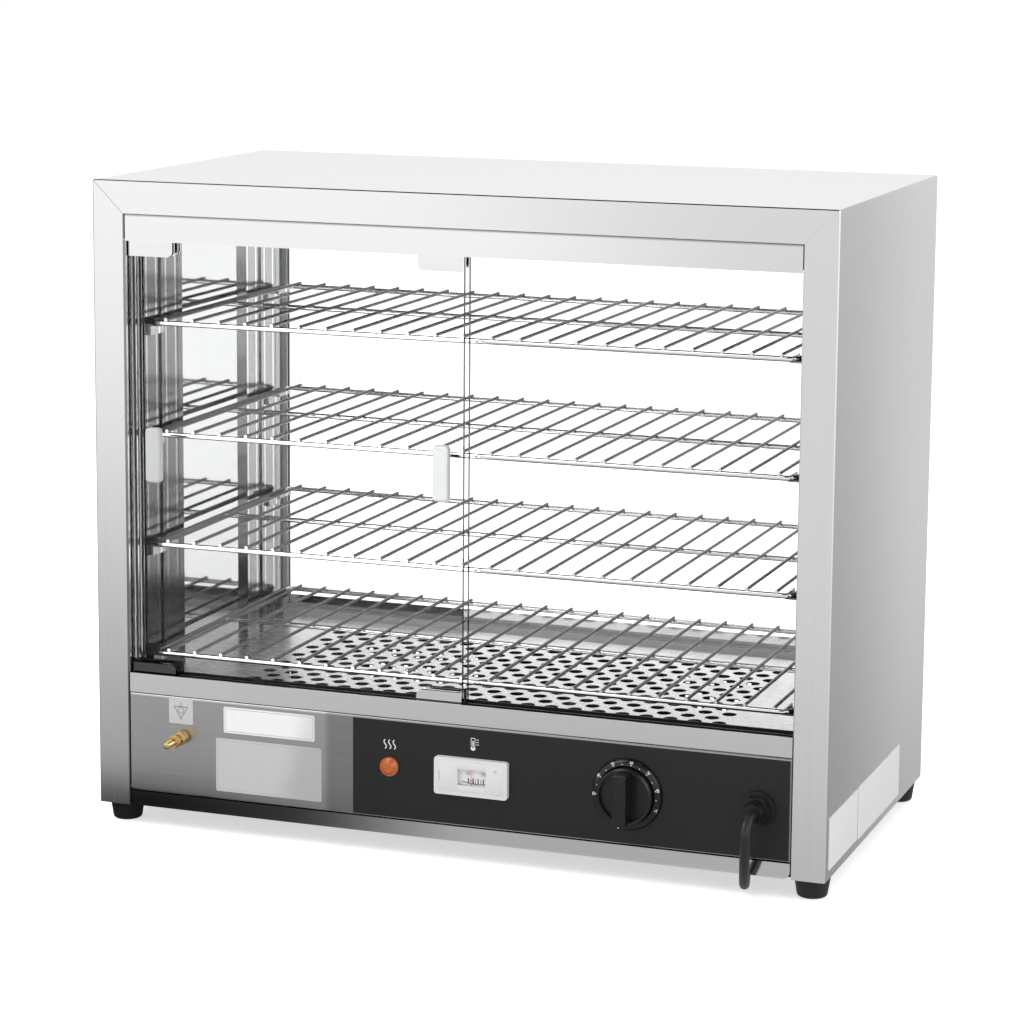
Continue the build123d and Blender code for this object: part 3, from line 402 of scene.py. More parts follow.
def wire_chrome():
    # Painted reflection: each rod is bright along its middle and dark towards its edges, by the
    # angle it is seen at.
    material, tree, output = new_material("wire_chrome")
    shader = add(tree, "ShaderNodeBsdfPrincipled", Metallic=1.0)
    grain = noise(tree, even(60), 3.0)
    facing_for_painted_reflection = tree.nodes.new("ShaderNodeLayerWeight")
    facing_for_painted_reflection.inputs["Blend"].default_value = 0.5
    base = mix_color(tree, grain, (0.90, 0.90, 0.91), grey(0.97))
    painted_shading = step_up(tree, facing_for_painted_reflection.outputs["Facing"], 0.16, 0.62, 1.0, 0.05)
    finish_shader(tree, shader, output, scaled_color(tree, base, painted_shading),
                  ramp(tree, grain, 0.06, 0.12))
    return material


def graded_metal(name, dark, light, rough_low, rough_high, foot_painted_shade, top_painted_shade, painted_highlight_bands=0.0):
    # Upright metal with painted shade that darkens it towards its foot, and faint upright painted
    # highlight bands where asked.
    material, tree, output = new_material(name)
    shader = add(tree, "ShaderNodeBsdfPrincipled", Metallic=1.0)
    streaks = noise(tree, (500, 500, 4), 4.0, 0.6)
    place_y, place_z = split_coords(tree, "Object")[1:]
    painted_shading = step_up(tree, place_z, 0.12, 0.50, foot_painted_shade, top_painted_shade)
    if painted_highlight_bands:
        wave = math_node(tree, "SINE", math_node(tree, "MULTIPLY", place_y, 330.0))
        band_highlight = step_up(tree, wave, 0.80, 1.0, 1.0, 1.0 + painted_highlight_bands)
        painted_shading = math_node(tree, "MULTIPLY", painted_shading, band_highlight)
    base = mix_color(tree, streaks, dark, light)
    finish_shader(tree, shader, output, scaled_color(tree, base, painted_shading),
                  ramp(tree, streaks, rough_low, rough_high),
                  bump(tree, streaks, 0.02, FINE_BUMP))
    return material


def panel_steel():
    # Brushed panel with a painted dark reflection at its end beside the black fascia, as in the
    # photograph.
    material, tree, output = new_material("panel_steel")
    shader = add(tree, "ShaderNodeBsdfPrincipled", Metallic=1.0)
    streaks = noise(tree, (5, 900, 900), 4.0, 0.6)
    base = mix_color(tree, streaks, grey(0.50), grey(0.60))
    painted_shading = step_up(tree, split_coords(tree, "Object")[0], -0.117, -0.109, 1.0, 0.66)
    finish_shader(tree, shader, output, scaled_color(tree, base, painted_shading),
                  ramp(tree, streaks, 0.18, 0.28), bump(tree, streaks, 0.05, FINE_BUMP))
    return material


def label_white():
    # Glossy white plates with a painted sheen that makes them paler towards the left; the lower one
    # on the panel is greyer.
    material, tree, output = new_material("label_white")
    shader = add(tree, "ShaderNodeBsdfPrincipled")
    clouds = noise(tree, even(120), 3.0)
    place_x, _, place_z = split_coords(tree, "Object")
    base = mix_color(tree, clouds, grey(0.93), grey(0.98))
    low = step_up(tree, place_z, 0.088, 0.090, 0.63, 1.0)
    slant = math_node(tree, "SUBTRACT", place_x, math_node(tree, "MULTIPLY", place_z, 0.25))
    painted_sheen = step_up(tree, slant, -0.176, -0.150, 1.0, 0.80)
    on_panel = math_node(tree, "LESS_THAN", place_x, 0.0)
    painted_shading = blend_values(tree, on_panel, 0.82, math_node(tree, "MULTIPLY", low, painted_sheen))
    finish_shader(tree, shader, output, scaled_color(tree, base, painted_shading),
                  ramp(tree, clouds, 0.34, 0.44))
    return material


def clip_chrome():
    # Pale clips; the lower left one carries painted shade, as in the photograph, wherever its door
    # is.
    material, tree, output = new_material("clip_chrome")
    shader = add(tree, "ShaderNodeBsdfPrincipled", Metallic=1.0)
    streaks = noise(tree, (30, 300, 300), 3.0)
    place_x, _, place_z = split_coords(tree, "Object")
    low_left_painted_shade = math_node(tree, "MULTIPLY", step_up(tree, place_z, 0.2, 0.3, 1.0, 0.0),
                         step_up(tree, place_x, -0.22, -0.18, 1.0, 0.0))
    painted_shading = step_up(tree, low_left_painted_shade, 0.0, 1.0, 1.0, 0.12)
    base = mix_color(tree, streaks, grey(0.90), grey(0.97))
    finish_shader(tree, shader, output, scaled_color(tree, base, painted_shading),
                  ramp(tree, streaks, 0.08, 0.14))
    return material


def pan_steel():
    # Polished strip at the front, with a painted dark reflection towards its left end; inside,
    # painted shade, dull and dark.
    material, tree, output = new_material("pan_steel")
    polished = add(tree, "ShaderNodeBsdfPrincipled", Metallic=1.0)
    streaks = noise(tree, (4, 600, 900), 4.0, 0.6)
    painted_reflection_along = step_up(tree, split_coords(tree, "Object")[0], -0.16, 0.04, 0.16, 1.0)
    strip = mix_color(tree, streaks, grey(0.88), grey(0.97))
    finish_shader(tree, polished, None, scaled_color(tree, strip, painted_reflection_along),
                  ramp(tree, streaks, 0.07, 0.14), bump(tree, streaks, 0.04, FINE_BUMP))
    inside_painted_shade = add(tree, "ShaderNodeBsdfPrincipled", Metallic=0.6)
    clouds = noise(tree, even(40), 3.0)
    finish_shader(tree, inside_painted_shade, None,
                  mix_color(tree, clouds, grey(0.010), grey(0.022)),
                  ramp(tree, clouds, 0.5, 0.65))
    place_y = split_coords(tree, "Object")[1]
    inside = math_node(tree, "GREATER_THAN", place_y, (FACE_Y + SHIFT_Y + 0.9) * MM)
    mixed = mix_shaders(tree, inside, polished.outputs[0], inside_painted_shade.outputs[0])
    tree.links.new(mixed, output.inputs["Surface"])
    return material


FAINT_IOR = 1.13  # real glass has about 1.5; this keeps what the panes reflect faint


def clear(name, tint, rough, dark_edges=False):
    # Clear sheet: lets lamp light through, and its cut edges are dark where asked.
    material, tree, output = new_material(name)
    shader = add(tree, "ShaderNodeBsdfPrincipled", IOR=FAINT_IOR)
    shader.inputs["Transmission Weight"].default_value = 1.0
    smears = noise(tree, (9, 9, 5), 4.0, 0.6)
    paler = tuple(min(1.0, c * 1.02) for c in tint)
    finish_shader(tree, shader, None, mix_color(tree, smears, tint, paler),
                  ramp(tree, smears, rough, rough + 0.01))
    open_light = add(tree, "ShaderNodeBsdfTransparent")
    open_light.inputs["Color"].default_value = (*tint, 1)
    surface = mix_shaders(tree, light_path(tree, "Is Shadow Ray"), shader.outputs[0],
                          open_light.outputs[0])
    if dark_edges:
        edge = add(tree, "ShaderNodeBsdfPrincipled", Roughness=0.12)
        tree.links.new(mix_color(tree, smears, (0.004, 0.008, 0.007), (0.010, 0.018, 0.015)),
                       edge.inputs["Base Color"])
        normal_y = split_coords(tree, "Normal")[1]
        on_edge = math_node(tree, "LESS_THAN", math_node(tree, "ABSOLUTE", normal_y), 0.5)
        surface = mix_shaders(tree, on_edge, surface, edge.outputs[0])
    tree.links.new(surface, output.inputs["Surface"])
    return material


CASING = casing_steel()
PAN = pan_steel()
BRIGHT = metal("bright_steel", grey(0.84), grey(0.93), 0.16, 0.26, (5, 900, 900), 0.04)
CLIP = clip_chrome()
HEADER = header_steel()
PANEL = panel_steel()
# The walls and pilasters are steel in darker greys than the casing, a painted shade.
WALL = graded_metal("wall_steel", grey(0.66), grey(0.70), 0.03, 0.06, 0.66, 1.0)
CEILING = metal("ceiling_steel", grey(0.28), grey(0.36), 0.12, 0.2, (4, 500, 500), 0.03)
FRONT_POST = graded_metal("pilaster_steel", grey(0.17), grey(0.23), 0.10, 0.17, 0.12, 1.0, 1.6)
FAR_POST = graded_metal("far_pilaster_steel", grey(0.34), grey(0.42), 0.10, 0.17, 0.45, 1.0, 1.2)
JAMB = metal("jamb_steel", grey(0.46), grey(0.56), 0.14, 0.22, (500, 500, 4), 0.03)
FAR_BAND = metal("far_band_steel", grey(0.90), grey(0.97), 0.07, 0.13, (5, 300, 300), 0.02)
BACK = metal("far_panel_steel", grey(0.62), grey(0.72), 0.22, 0.32, (5, 900, 900), 0.04)
PLATE = metal("plate_metal", grey(0.91), grey(0.98), 0.22, 0.32, (8, 300, 300), 0.05)
CHROME = wire_chrome()
BRASS = metal("brass", (0.74, 0.50, 0.20), (0.90, 0.66, 0.32), 0.14, 0.24, even(200), 0.05)
GALVANISED = metal("galvanised", (0.20, 0.20, 0.21), (0.30, 0.30, 0.31), 0.35, 0.5, even(60), 0.05)
ELEMENT = metal(
    "element_steel", (0.07, 0.06, 0.055), (0.12, 0.11, 0.11), 0.40, 0.55, even(90), 0.08)
COPPER = metal("copper", (0.30, 0.14, 0.08), (0.42, 0.22, 0.14), 0.3, 0.4, even(90), 0.03)
SHAFT = metal("shaft_steel", grey(0.45), grey(0.60), 0.2, 0.3, even(90), 0.03)
FASCIA = plastic("fascia_black", grey(0.006), grey(0.009), 0.40, 0.50, 1400, 0.10)
KNOB_MAT = plastic("knob_black", grey(0.006), grey(0.010), 0.22, 0.34, 1200, 0.05)
DIAL = plastic("dial_black", grey(0.004), grey(0.007), 0.12, 0.20, 1200, 0.03)
TRACK = plastic("track_black", grey(0.006), grey(0.011), 0.35, 0.5)
RUBBER = plastic("rubber_black", grey(0.010), grey(0.017), 0.38, 0.5, 500, 0.2)
CORD = plastic("cord_black", (0.012, 0.012, 0.013), (0.018, 0.018, 0.019), 0.34, 0.46, 400, 0.15)
GLAND_MAT = plastic("gland_black", grey(0.007), grey(0.012), 0.22, 0.34, 700, 0.12)
WHITE = plastic("meter_white", grey(0.76), grey(0.82), 0.28, 0.36, 900, 0.04)
CARD = plastic("meter_card", grey(0.62), (0.68, 0.68, 0.67), 0.5, 0.6)
INK = plastic("print_black", grey(0.010), grey(0.018), 0.5, 0.6)
INK_WHITE = plastic("print_white", grey(0.88), grey(0.95), 0.45, 0.55)
INK_GREY = plastic("print_grey", (0.20, 0.21, 0.22), (0.26, 0.27, 0.28), 0.5, 0.6)
INK_PALE = plastic("print_pale", grey(0.48), grey(0.56), 0.5, 0.6)
RED = plastic("needle_red", (0.70, 0.05, 0.03), (0.82, 0.10, 0.05), 0.35, 0.45)
LABEL = label_white()
STICKER = plastic("sticker_pale", (0.56, 0.57, 0.56), (0.64, 0.65, 0.64), 0.36, 0.46, 600, 0.05)
CERAMIC = plastic("ceramic", (0.30, 0.28, 0.25), (0.38, 0.36, 0.33), 0.4, 0.55)
GASKET = plastic("gasket", (0.62, 0.63, 0.63), (0.72, 0.73, 0.73), 0.4, 0.5)
GLASS = clear("door_glass", (0.975, 0.985, 0.98), 0.0, dark_edges=True)
FAR_GLASS = clear("far_glass", (0.985, 0.99, 0.985), 0.0)
WINDOW = clear("meter_window", grey(0.97), 0.02)


def frosted():
    material, tree, output = new_material("frosted_plastic")
    shader = add(tree, "ShaderNodeBsdfPrincipled", IOR=1.45)
    shader.inputs["Transmission Weight"].default_value = 0.22
    shader.inputs["Coat Weight"].default_value = 0.3
    clouds = noise(tree, even(60), 3.0)
    fine = noise(tree, even(1200), 2.0)
    finish_shader(tree, shader, output,
                  mix_color(tree, clouds, (0.74, 0.75, 0.75), (0.86, 0.87, 0.87)),
                  ramp(tree, clouds, 0.30, 0.42), bump(tree, fine, 0.15, FINE_BUMP))
    return material


def amber():
    material, tree, output = new_material("lamp_amber")
    shader = add(tree, "ShaderNodeBsdfPrincipled", IOR=1.45)
    shader.inputs["Transmission Weight"].default_value = 0.25
    shader.inputs["Coat Weight"].default_value = 0.6
    facets = noise(tree, even(500), 2.0)
    finish_shader(tree, shader, output,
                  mix_color(tree, facets, (0.55, 0.08, 0.01), (0.90, 0.26, 0.05)),
                  ramp(tree, facets, 0.12, 0.25), bump(tree, facets, 0.5, 4 * FINE_BUMP))
    return material


FROSTED = frosted()
AMBER = amber()

NODE_MATERIALS = {
    CASING: ("outer_casing",),
    PAN: ("base_pan",),
    BRIGHT: ("far_header", "front_sill"),
    CLIP: ("left_door_clips", "right_door_clips"),
    FAR_BAND: ("far_sill",),
    BACK: ("far_panel",),
    PANEL: ("control_panel",),
    WALL: ("left_inner_wall", "right_inner_wall"),
    CEILING: ("inner_ceiling",),
    FRONT_POST: ("front_pilasters",),
    FAR_POST: ("far_pilasters", "shelf_hooks"),
    HEADER: ("front_header",),
    JAMB: ("door_jambs",),
    PLATE: ("heat_plate",),
    CHROME: ("wire_shelf_1", "wire_shelf_2", "wire_shelf_3", "wire_shelf_4"),
    BRASS: ("bonding_stud", "bonding_nuts"),
    GALVANISED: ("element_brackets",),
    ELEMENT: ("left_heating_element", "right_heating_element"),
    COPPER: ("thermometer_sensor", "thermostat_sensor"),
    SHAFT: ("thermostat_shaft", "foot_screws"),
    FASCIA: ("panel_fascia",),
    KNOB_MAT: ("thermostat_knob",),
    DIAL: ("dial_ring",),
    TRACK: ("lower_door_track", "upper_door_track"),
    RUBBER: ("feet", "plug"),
    CORD: ("power_cord", "cord_coil", "coil_tie", "wiring_loom"),
    GLAND_MAT: ("cable_gland",),
    WHITE: ("thermometer_case",),
    CARD: ("thermometer_card",),
    RED: ("thermometer_needle",),
    LABEL: ("front_plates", "side_labels"),
    STICKER: ("bonding_sticker",),
    CERAMIC: ("thermostat_body", "terminal_block", "lamp_body"),
    GASKET: ("glass_gasket",),
    GLASS: ("left_door_glass", "right_door_glass"),
    FAR_GLASS: ("far_glass",),
    WINDOW: ("thermometer_window",),
    FROSTED: ("left_door_handle", "right_door_handle"),
    AMBER: ("lamp_lens",),
}
for finish, names in NODE_MATERIALS.items():
    for node_name in names:
        node_mesh = nodes[node_name].data
        node_mesh.materials.clear()
        node_mesh.materials.append(finish)


# Cord: the route's points, the turns of the coil and the last straight diameter, one spline.
def cord_points():
    z = GLAND[1]
    low = CORD_D / 2
    x = GLAND[0]
    y = GLAND_END_Y
    coil_x, coil_y, pitch, turns, mid_r = 44.0, 256.0, 9.3, 4, 47.5
    outer_r = mid_r + pitch * turns / 4
    start_y = coil_y - outer_r
    points = [
        (x, y, z), (x, y - 20, z), (x, y - 20, low + 42), (x - 10, y + 16, low),
        (x - 24, y + 72, low), (x - 47, y + 134, low), (x - 76, y + 193, low),
        (x - 104, y + 268, low), (coil_x + 98, start_y - 32, low), (coil_x + 59, start_y, low),
        (coil_x + CORD_D, start_y, low),
    ]
    per_turn = 16
    for i in range(turns * per_turn + 1):
        turn = i / per_turn
        reach = min(turn, turns - turn)
        radius = outer_r - pitch * reach
        climb = min(max((turn - turns / 2 + 0.25) / 0.5, 0.0), 1.0)
        level = climb * climb * (3 - 2 * climb)
        angle = -math.pi / 2 - 2 * math.pi * turn
        points.append((
            coil_x + radius * math.cos(angle), coil_y + radius * math.sin(angle),
            low + pitch * level,
        ))
    points.append((coil_x - CORD_D, start_y, low + pitch))
    return [P(*point) for point in points]


def add_cord():
    curve = bpy.data.curves.new("mains_cord", "CURVE")
    curve.dimensions = "3D"
    curve.bevel_depth = CORD_D / 2 * MM
    curve.bevel_resolution = 6
    curve.resolution_u = 6
    spline = curve.splines.new("NURBS")
    points = cord_points()
    spline.points.add(len(points) - 1)
    for point, where in zip(spline.points, points):
        point.co = (*where, 1)
    spline.order_u = 3
    spline.use_endpoint_u = True
    cord = bpy.data.objects.new("mains_cord", curve)
    bpy.context.scene.collection.objects.link(cord)
    place(cord, "cabinet", "cord_black", CORD)
    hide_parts("power_cord", "cord_coil")
    return cord


add_cord()


# Printed marks: thin shapes that stand a hair proud of the surface that carries them.
PRINT_T = 0.08


def text_mark(name, text, x, z, y, size, turn, material, slot):
    curve = bpy.data.curves.new(name, "FONT")
    curve.body = text
    curve.size = size * MM
    curve.align_x = "CENTER"
    curve.align_y = "CENTER"
    curve.extrude = PRINT_T / 2 * MM
    curve.offset = 0.06 * MM
    obj = bpy.data.objects.new(name, curve)
    bpy.context.scene.collection.objects.link(obj)
    obj.matrix_world = (
        Matrix.Translation(P(x, y - PRINT_T / 2, z)) @ Matrix.Rotation(-turn, 4, "Y")
        @ Matrix.Rotation(math.pi / 2, 4, "X")
    )
    return place(obj, "cabinet", slot, material)


def add_outline(bm, points, y, thickness=PRINT_T):
    # A flat shape from its corners (x, z), raised towards the viewer from y.
    low = [bm.verts.new(P(x, y, z)) for x, z in points]
    high = [bm.verts.new(P(x, y - thickness, z)) for x, z in points]
    count = len(points)
    bm.faces.new(low)
    bm.faces.new(high)
    for i in range(count):
        j = (i + 1) % count
        bm.faces.new((low[i], low[j], high[j], high[i]))


def add_disc(bm, x, z, radius, y, thickness=PRINT_T, segments=20):
    points = []
    for i in range(segments):
        angle = 2 * math.pi * i / segments
        points.append((x + radius * math.cos(angle), z + radius * math.sin(angle)))
    add_outline(bm, points, y, thickness)


def add_stroke(bm, x0, z0, x1, z1, width, y):
    length = math.hypot(x1 - x0, z1 - z0)
    nx, nz = -(z1 - z0) / length * width / 2, (x1 - x0) / length * width / 2
    points = ((x0 + nx, z0 + nz), (x1 + nx, z1 + nz), (x1 - nx, z1 - nz), (x0 - nx, z0 - nz))
    add_outline(bm, points, y)


def add_frame(bm, x, z, w, h, width, y):
    for side in (-1, 1):
        edge_x, edge_z, inner = x + side * w / 2, z + side * h / 2, h / 2 - width / 2
        add_stroke(bm, x - w / 2, edge_z, x + w / 2, edge_z, width, y)
        add_stroke(bm, edge_x, z - inner, edge_x, z + inner, width, y)


def finish_marks(name, bm, body, slot, material):
    bmesh.ops.recalc_face_normals(bm, faces=bm.faces)
    return place(new_mesh_object(name, bm, smooth=False), body, slot, material)


# Dial: a raised ring that slopes down to the fascia, with plain numbers.
DIAL_R, DIAL_TOP_R, DIAL_IN_R, DIAL_H = 31.0, 29.6, 25.0, 4.6
DIAL_DOT_R, DIAL_FIRST_ANGLE, DIAL_STEP_ANGLE = 26.3, 183.0, 17.0


def dial_piece():
    profile = (
        (FACE_Y, DIAL_IN_R - 1.0), (FACE_Y - DIAL_H + 0.8, DIAL_IN_R - 0.4),
        (FACE_Y - DIAL_H, DIAL_IN_R + 0.2), (FACE_Y - DIAL_H + 0.3, DIAL_IN_R + 1.0),
        (FACE_Y - DIAL_H + 1.0, DIAL_TOP_R - 0.6), (FACE_Y - DIAL_H + 1.6, DIAL_TOP_R),
        (FACE_Y - 0.6, DIAL_R - 0.1), (FACE_Y, DIAL_R),
    )
    ring = lathe_y("dial_bezel", KNOB[0], KNOB[1], profile, 96)
    place(ring, "cabinet", "dial_black", DIAL)
    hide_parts("dial_ring")


def dial_y(radius):
    share = (radius - DIAL_IN_R - 1.0) / (DIAL_TOP_R - 0.6 - DIAL_IN_R - 1.0)
    return FACE_Y - DIAL_H + 0.3 + 0.7 * share


def dial_text(name, text, angle, radius, size):
    text_mark(name, text, KNOB[0] + radius * math.cos(angle), KNOB[1] + radius * math.sin(angle),
              dial_y(radius) - 0.16, size, angle - math.pi / 2, INK_WHITE, "dial_black")


def dial_marks():
    bm = bmesh.new()
    number_at = {0: "30", 2: "40", 4: "50", 6: "60", 8: "70", 10: "80"}
    for i in range(12):
        angle = math.radians(DIAL_FIRST_ANGLE - DIAL_STEP_ANGLE * i)
        radius = DIAL_DOT_R
        size = 0.62 if i in number_at else 0.5
        add_disc(bm, KNOB[0] + radius * math.cos(angle), KNOB[1] + radius * math.sin(angle), size,
                 dial_y(radius) - 0.02, 0.1)
        if i in number_at:
            dial_text("dial_number_" + number_at[i], number_at[i], angle, 28.3, 3.1)
    finish_marks("dial_dots", bm, "cabinet", "dial_black", INK_WHITE)
    dial_text("dial_unit", "°C", math.radians(-22.0), 28.2, 3.0)
    bm = bmesh.new()
    slab(bm, KNOB[0] - 0.55, KNOB[0] + 0.55, KNOB_FRONT_Y - 0.1, KNOB_FRONT_Y + 6.2,
         KNOB[1] - 22.85, KNOB[1] - 22.3, 0.15)
    pointer = new_mesh_object("knob_pointer", bm)
    place(pointer, "knob", "dial_black", INK_WHITE)


dial_piece()
dial_marks()


# Thermometer: a thin front plate with the reading window, the scale and the needle.
METER_FRONT_Y = -178.7
CARD_Y = -174.7


def meter_plate():
    bm = bmesh.new()
    outer_w, outer_h = 57.5, 24.8
    x0, x1 = METER[0] - 11.8, METER[0] + 13.9
    z0, z1 = METER[1] - 7.2, METER[1] + 7.0
    left, right = METER[0] - outer_w / 2, METER[0] + outer_w / 2
    low, high = METER[1] - outer_h / 2, METER[1] + outer_h / 2
    front, back = METER_FRONT_Y - 0.35, METER_FRONT_Y + 0.02
    slab(bm, left, x0, front, back, low, high, 0.16)
    slab(bm, x1, right, front, back, low, high, 0.16)
    slab(bm, x0 - 0.2, x1 + 0.2, front, back, z1, high, 0.16)
    slab(bm, x0 - 0.2, x1 + 0.2, front, back, low, z0, 0.16)
    plate = new_mesh_object("meter_plate", bm)
    place(plate, "cabinet", "meter_white", WHITE)
    lining = bmesh.new()
    for a0, a1, b0, b1 in ((x0 - 0.6, x0, z0 - 0.6, z1 + 0.6), (x1, x1 + 0.6, z0 - 0.6, z1 + 0.6),
                           (x0 - 0.6, x1 + 0.6, z1, z1 + 0.6), (x0 - 0.6, x1 + 0.6, z0 - 0.6, z0)):
        slab(lining, a0, a1, METER_FRONT_Y + 0.05, CARD_Y - 0.35, b0, b1, 0.1)
    place(new_mesh_object("meter_window_lining", lining), "cabinet", "meter_white", WHITE)
    marks = bmesh.new()
    # No slot is cut left of the window; this grey stroke is its painted shade.
    add_stroke(marks, METER[0] - 28.1, METER[1] - 4.6, METER[0] - 28.1, METER[1] + 4.4, 0.8, front)
    finish_marks("meter_slot_shade", marks, "cabinet", "meter_white", INK_PALE)
    text_mark("meter_unit", "°C", METER[0] + 22.4, METER[1] + 7.4, front, 3.0, 0.0, RED,
              "needle_red")


def meter_scale():
    bm = bmesh.new()
    arc_x, arc_r, arc_z = METER[0] + 5.5, 62.0, METER[1] - 5.9
    steps = 24
    for i in range(steps):
        ends = []
        for k in (i, i + 1):
            offset = -14.5 + 23.0 * k / steps
            ends.append((arc_x + offset, arc_z + arc_r - math.sqrt(arc_r ** 2 - offset ** 2)))
        add_stroke(bm, *ends[0], *ends[1], 0.62, CARD_Y)
    for at in (-3.1, 1.2, 5.7, 10.3):
        add_stroke(bm, METER[0] + at, arc_z, METER[0] + at, arc_z + 4.9, 1.0, CARD_Y - 0.01)
    for at in (-1.0, 3.5, 8.0, 12.6):
        add_stroke(bm, METER[0] + at, arc_z, METER[0] + at, arc_z + 4.3, 0.45, CARD_Y - 0.01)
    finish_marks("meter_scale", bm, "cabinet", "meter_white", INK)
    for number, dx, dz in (("20", -3.3, 3.2), ("50", 10.4, 3.0)):
        text_mark("meter_number_" + number, number, METER[0] + dx, METER[1] + dz, CARD_Y, 4.6, 0.0,
                  INK_GREY, "meter_white")


def meter_needle():
    # The needle hangs from its pivot behind the window's upper edge, with a dot at its tip.
    bm = bmesh.new()
    pivot_z, tip_z = CASE_Z + 62.4, CASE_Z + 51.8
    slab(bm, METER[0] - 0.16, METER[0] + 0.16, -175.95, -175.7, tip_z, pivot_z + 2.2, 0.05)
    add_disc(bm, METER[0], tip_z, 0.75, -175.7, 0.3)
    add_disc(bm, METER[0], pivot_z, 0.6, -175.6, 0.3)
    bmesh.ops.recalc_face_normals(bm, faces=bm.faces)
    needle = new_mesh_object("meter_needle", bm)
    place(needle, "needle", "needle_red", RED)
    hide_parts("thermometer_needle")


meter_plate()
meter_scale()
meter_needle()


# Signs on the panel, as drawn symbols.
def heat_sign():
    bm = bmesh.new()
    y = FACE_Y
    for k in (-1, 0, 1):
        last = None
        for i in range(13):
            t = i / 12
            here = (LAMP[0] + 4.2 * k + 1.1 * math.sin(2 * math.pi * t), LAMP[1] + 15.5 + 8.0 * t)
            if last:
                add_stroke(bm, *last, *here, 0.9, y)
            last = here
    finish_marks("heat_sign", bm, "cabinet", "meter_white", INK_WHITE)


def thermometer_sign():
    bm = bmesh.new()
    x, z = METER[0] + 0.5, METER[1] + 25.0
    y = FACE_Y
    add_disc(bm, x, z, 2.1, y)
    add_stroke(bm, x, z, x, z + 6.4, 1.1, y)
    for side in (-1, 1):
        add_stroke(bm, x + side * 1.75, z + 2.2, x + side * 1.75, z + 8.6, 0.5, y)
    add_stroke(bm, x - 1.9, z + 8.7, x + 1.9, z + 8.7, 0.5, y)
    for k in range(3):
        add_stroke(bm, x + 3.0, z + 3.2 + 2.2 * k, x + 5.2, z + 3.2 + 2.2 * k, 0.5, y)
    finish_marks("thermometer_sign", bm, "cabinet", "meter_white", INK_WHITE)


def bonding_sign():
    # Plain bonding mark: a triangle standing on its tip round a small circle.
    bm = bmesh.new()
    x, z, y = BOND[0] + 1.5, CASE_Z + 89.5, PLATE_FACE_Y
    left, right, low = (x - 6.6, z + 3.6), (x + 6.6, z + 3.6), (x, z - 6.6)
    for start, end in ((left, right), (right, low), (low, left)):
        add_stroke(bm, *start, *end, 0.7, y)
    steps = 20
    for i in range(steps):
        a0, a1 = (2 * math.pi * k / steps for k in (i, i + 1))
        add_stroke(bm, x + 2.7 * math.cos(a0), z + 0.4 + 2.7 * math.sin(a0),
                   x + 2.7 * math.cos(a1), z + 0.4 + 2.7 * math.sin(a1), 0.5, y)
    add_stroke(bm, x, z + 3.6, x, z + 7.4, 0.6, y)
    add_stroke(bm, x, z - 6.6, x, z - 8.6, 0.6, y)
    finish_marks("bonding_sign", bm, "cabinet", "dial_black", INK_GREY)


def plate_rules():
    # Thin printed borders on the two blank plates of the panel.
    bm = bmesh.new()
    add_frame(bm, -167.0, CASE_Z + 85.5, 83.0, 20.0, 0.5, PLATE_FACE_Y)
    add_frame(bm, -167.5, CASE_Z + 44.8, 96.5, 44.0, 0.5, PLATE_FACE_Y)
    finish_marks("plate_borders", bm, "cabinet", "dial_black", INK_PALE)


heat_sign()
thermometer_sign()
bonding_sign()
plate_rules()


# Bonding stud: its thread as fine rings along the bare lengths.
def threaded_stud():
    front, back, root_r, crest_r, half_pitch = -200.1, -159.1, 2.6, 2.95, 0.4
    profile = [(front, 0.0), (front, 2.2)]
    y = front + half_pitch
    while y < back - 0.9:
        profile.append((y, crest_r))
        profile.append((y + half_pitch, root_r))
        y += 2 * half_pitch
    profile.extend([(back, root_r), (back, 0.0)])
    stud = lathe_y("threaded_stud", BOND[0], BOND[1], profile, 32)
    place(stud, "cabinet", "brass", BRASS)
    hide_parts("bonding_stud")


threaded_stud()


# Rounded edges on pressed and moulded pieces, so that they catch the light.
def round_edges(names, width, segments=2):
    for name in names:
        modifier = nodes[name].modifiers.new("rounded_edges", "BEVEL")
        modifier.width = width * MM
        modifier.segments = segments
        modifier.limit_method = "ANGLE"
        modifier.angle_limit = math.radians(40)
        modifier.use_clamp_overlap = True
        modifier.harden_normals = False


round_edges(("thermostat_knob", "left_door_handle", "right_door_handle", "thermometer_case"), 0.5)
round_edges(("front_plates", "bonding_sticker"), 0.12)


# Light: a white studio, soft lamps, and a dark roof that only the metals' reflections show.
def add_world():
    world = bpy.data.worlds.new("studio")
    bpy.context.scene.world = world
    world.use_nodes = True
    tree = world.node_tree
    tree.nodes.clear()
    output = tree.nodes.new("ShaderNodeOutputWorld")
    towards = split_coords(tree, "Generated")
    plain = add(tree, "ShaderNodeBackground", Color=(1, 1, 1, 1), Strength=1.0)
    room = add(tree, "ShaderNodeBackground", Color=(1, 1, 1, 1))
    tree.links.new(step_up(tree, towards[1], -0.9, 0.2, 0.55, 0.95), room.inputs["Strength"])
    mirror = add(tree, "ShaderNodeBackground", Color=(1, 1, 1, 1))
    tree.links.new(step_up(tree, towards[2], 0.34, 0.62, 1.0, 0.10), mirror.inputs["Strength"])
    seen = light_path(tree, "Is Camera Ray", "Is Transmission Ray")
    shown = mix_shaders(tree, light_path(tree, "Is Glossy Ray"), room.outputs[0], mirror.outputs[0])
    tree.links.new(mix_shaders(tree, seen, shown, plain.outputs[0]), output.inputs["Surface"])


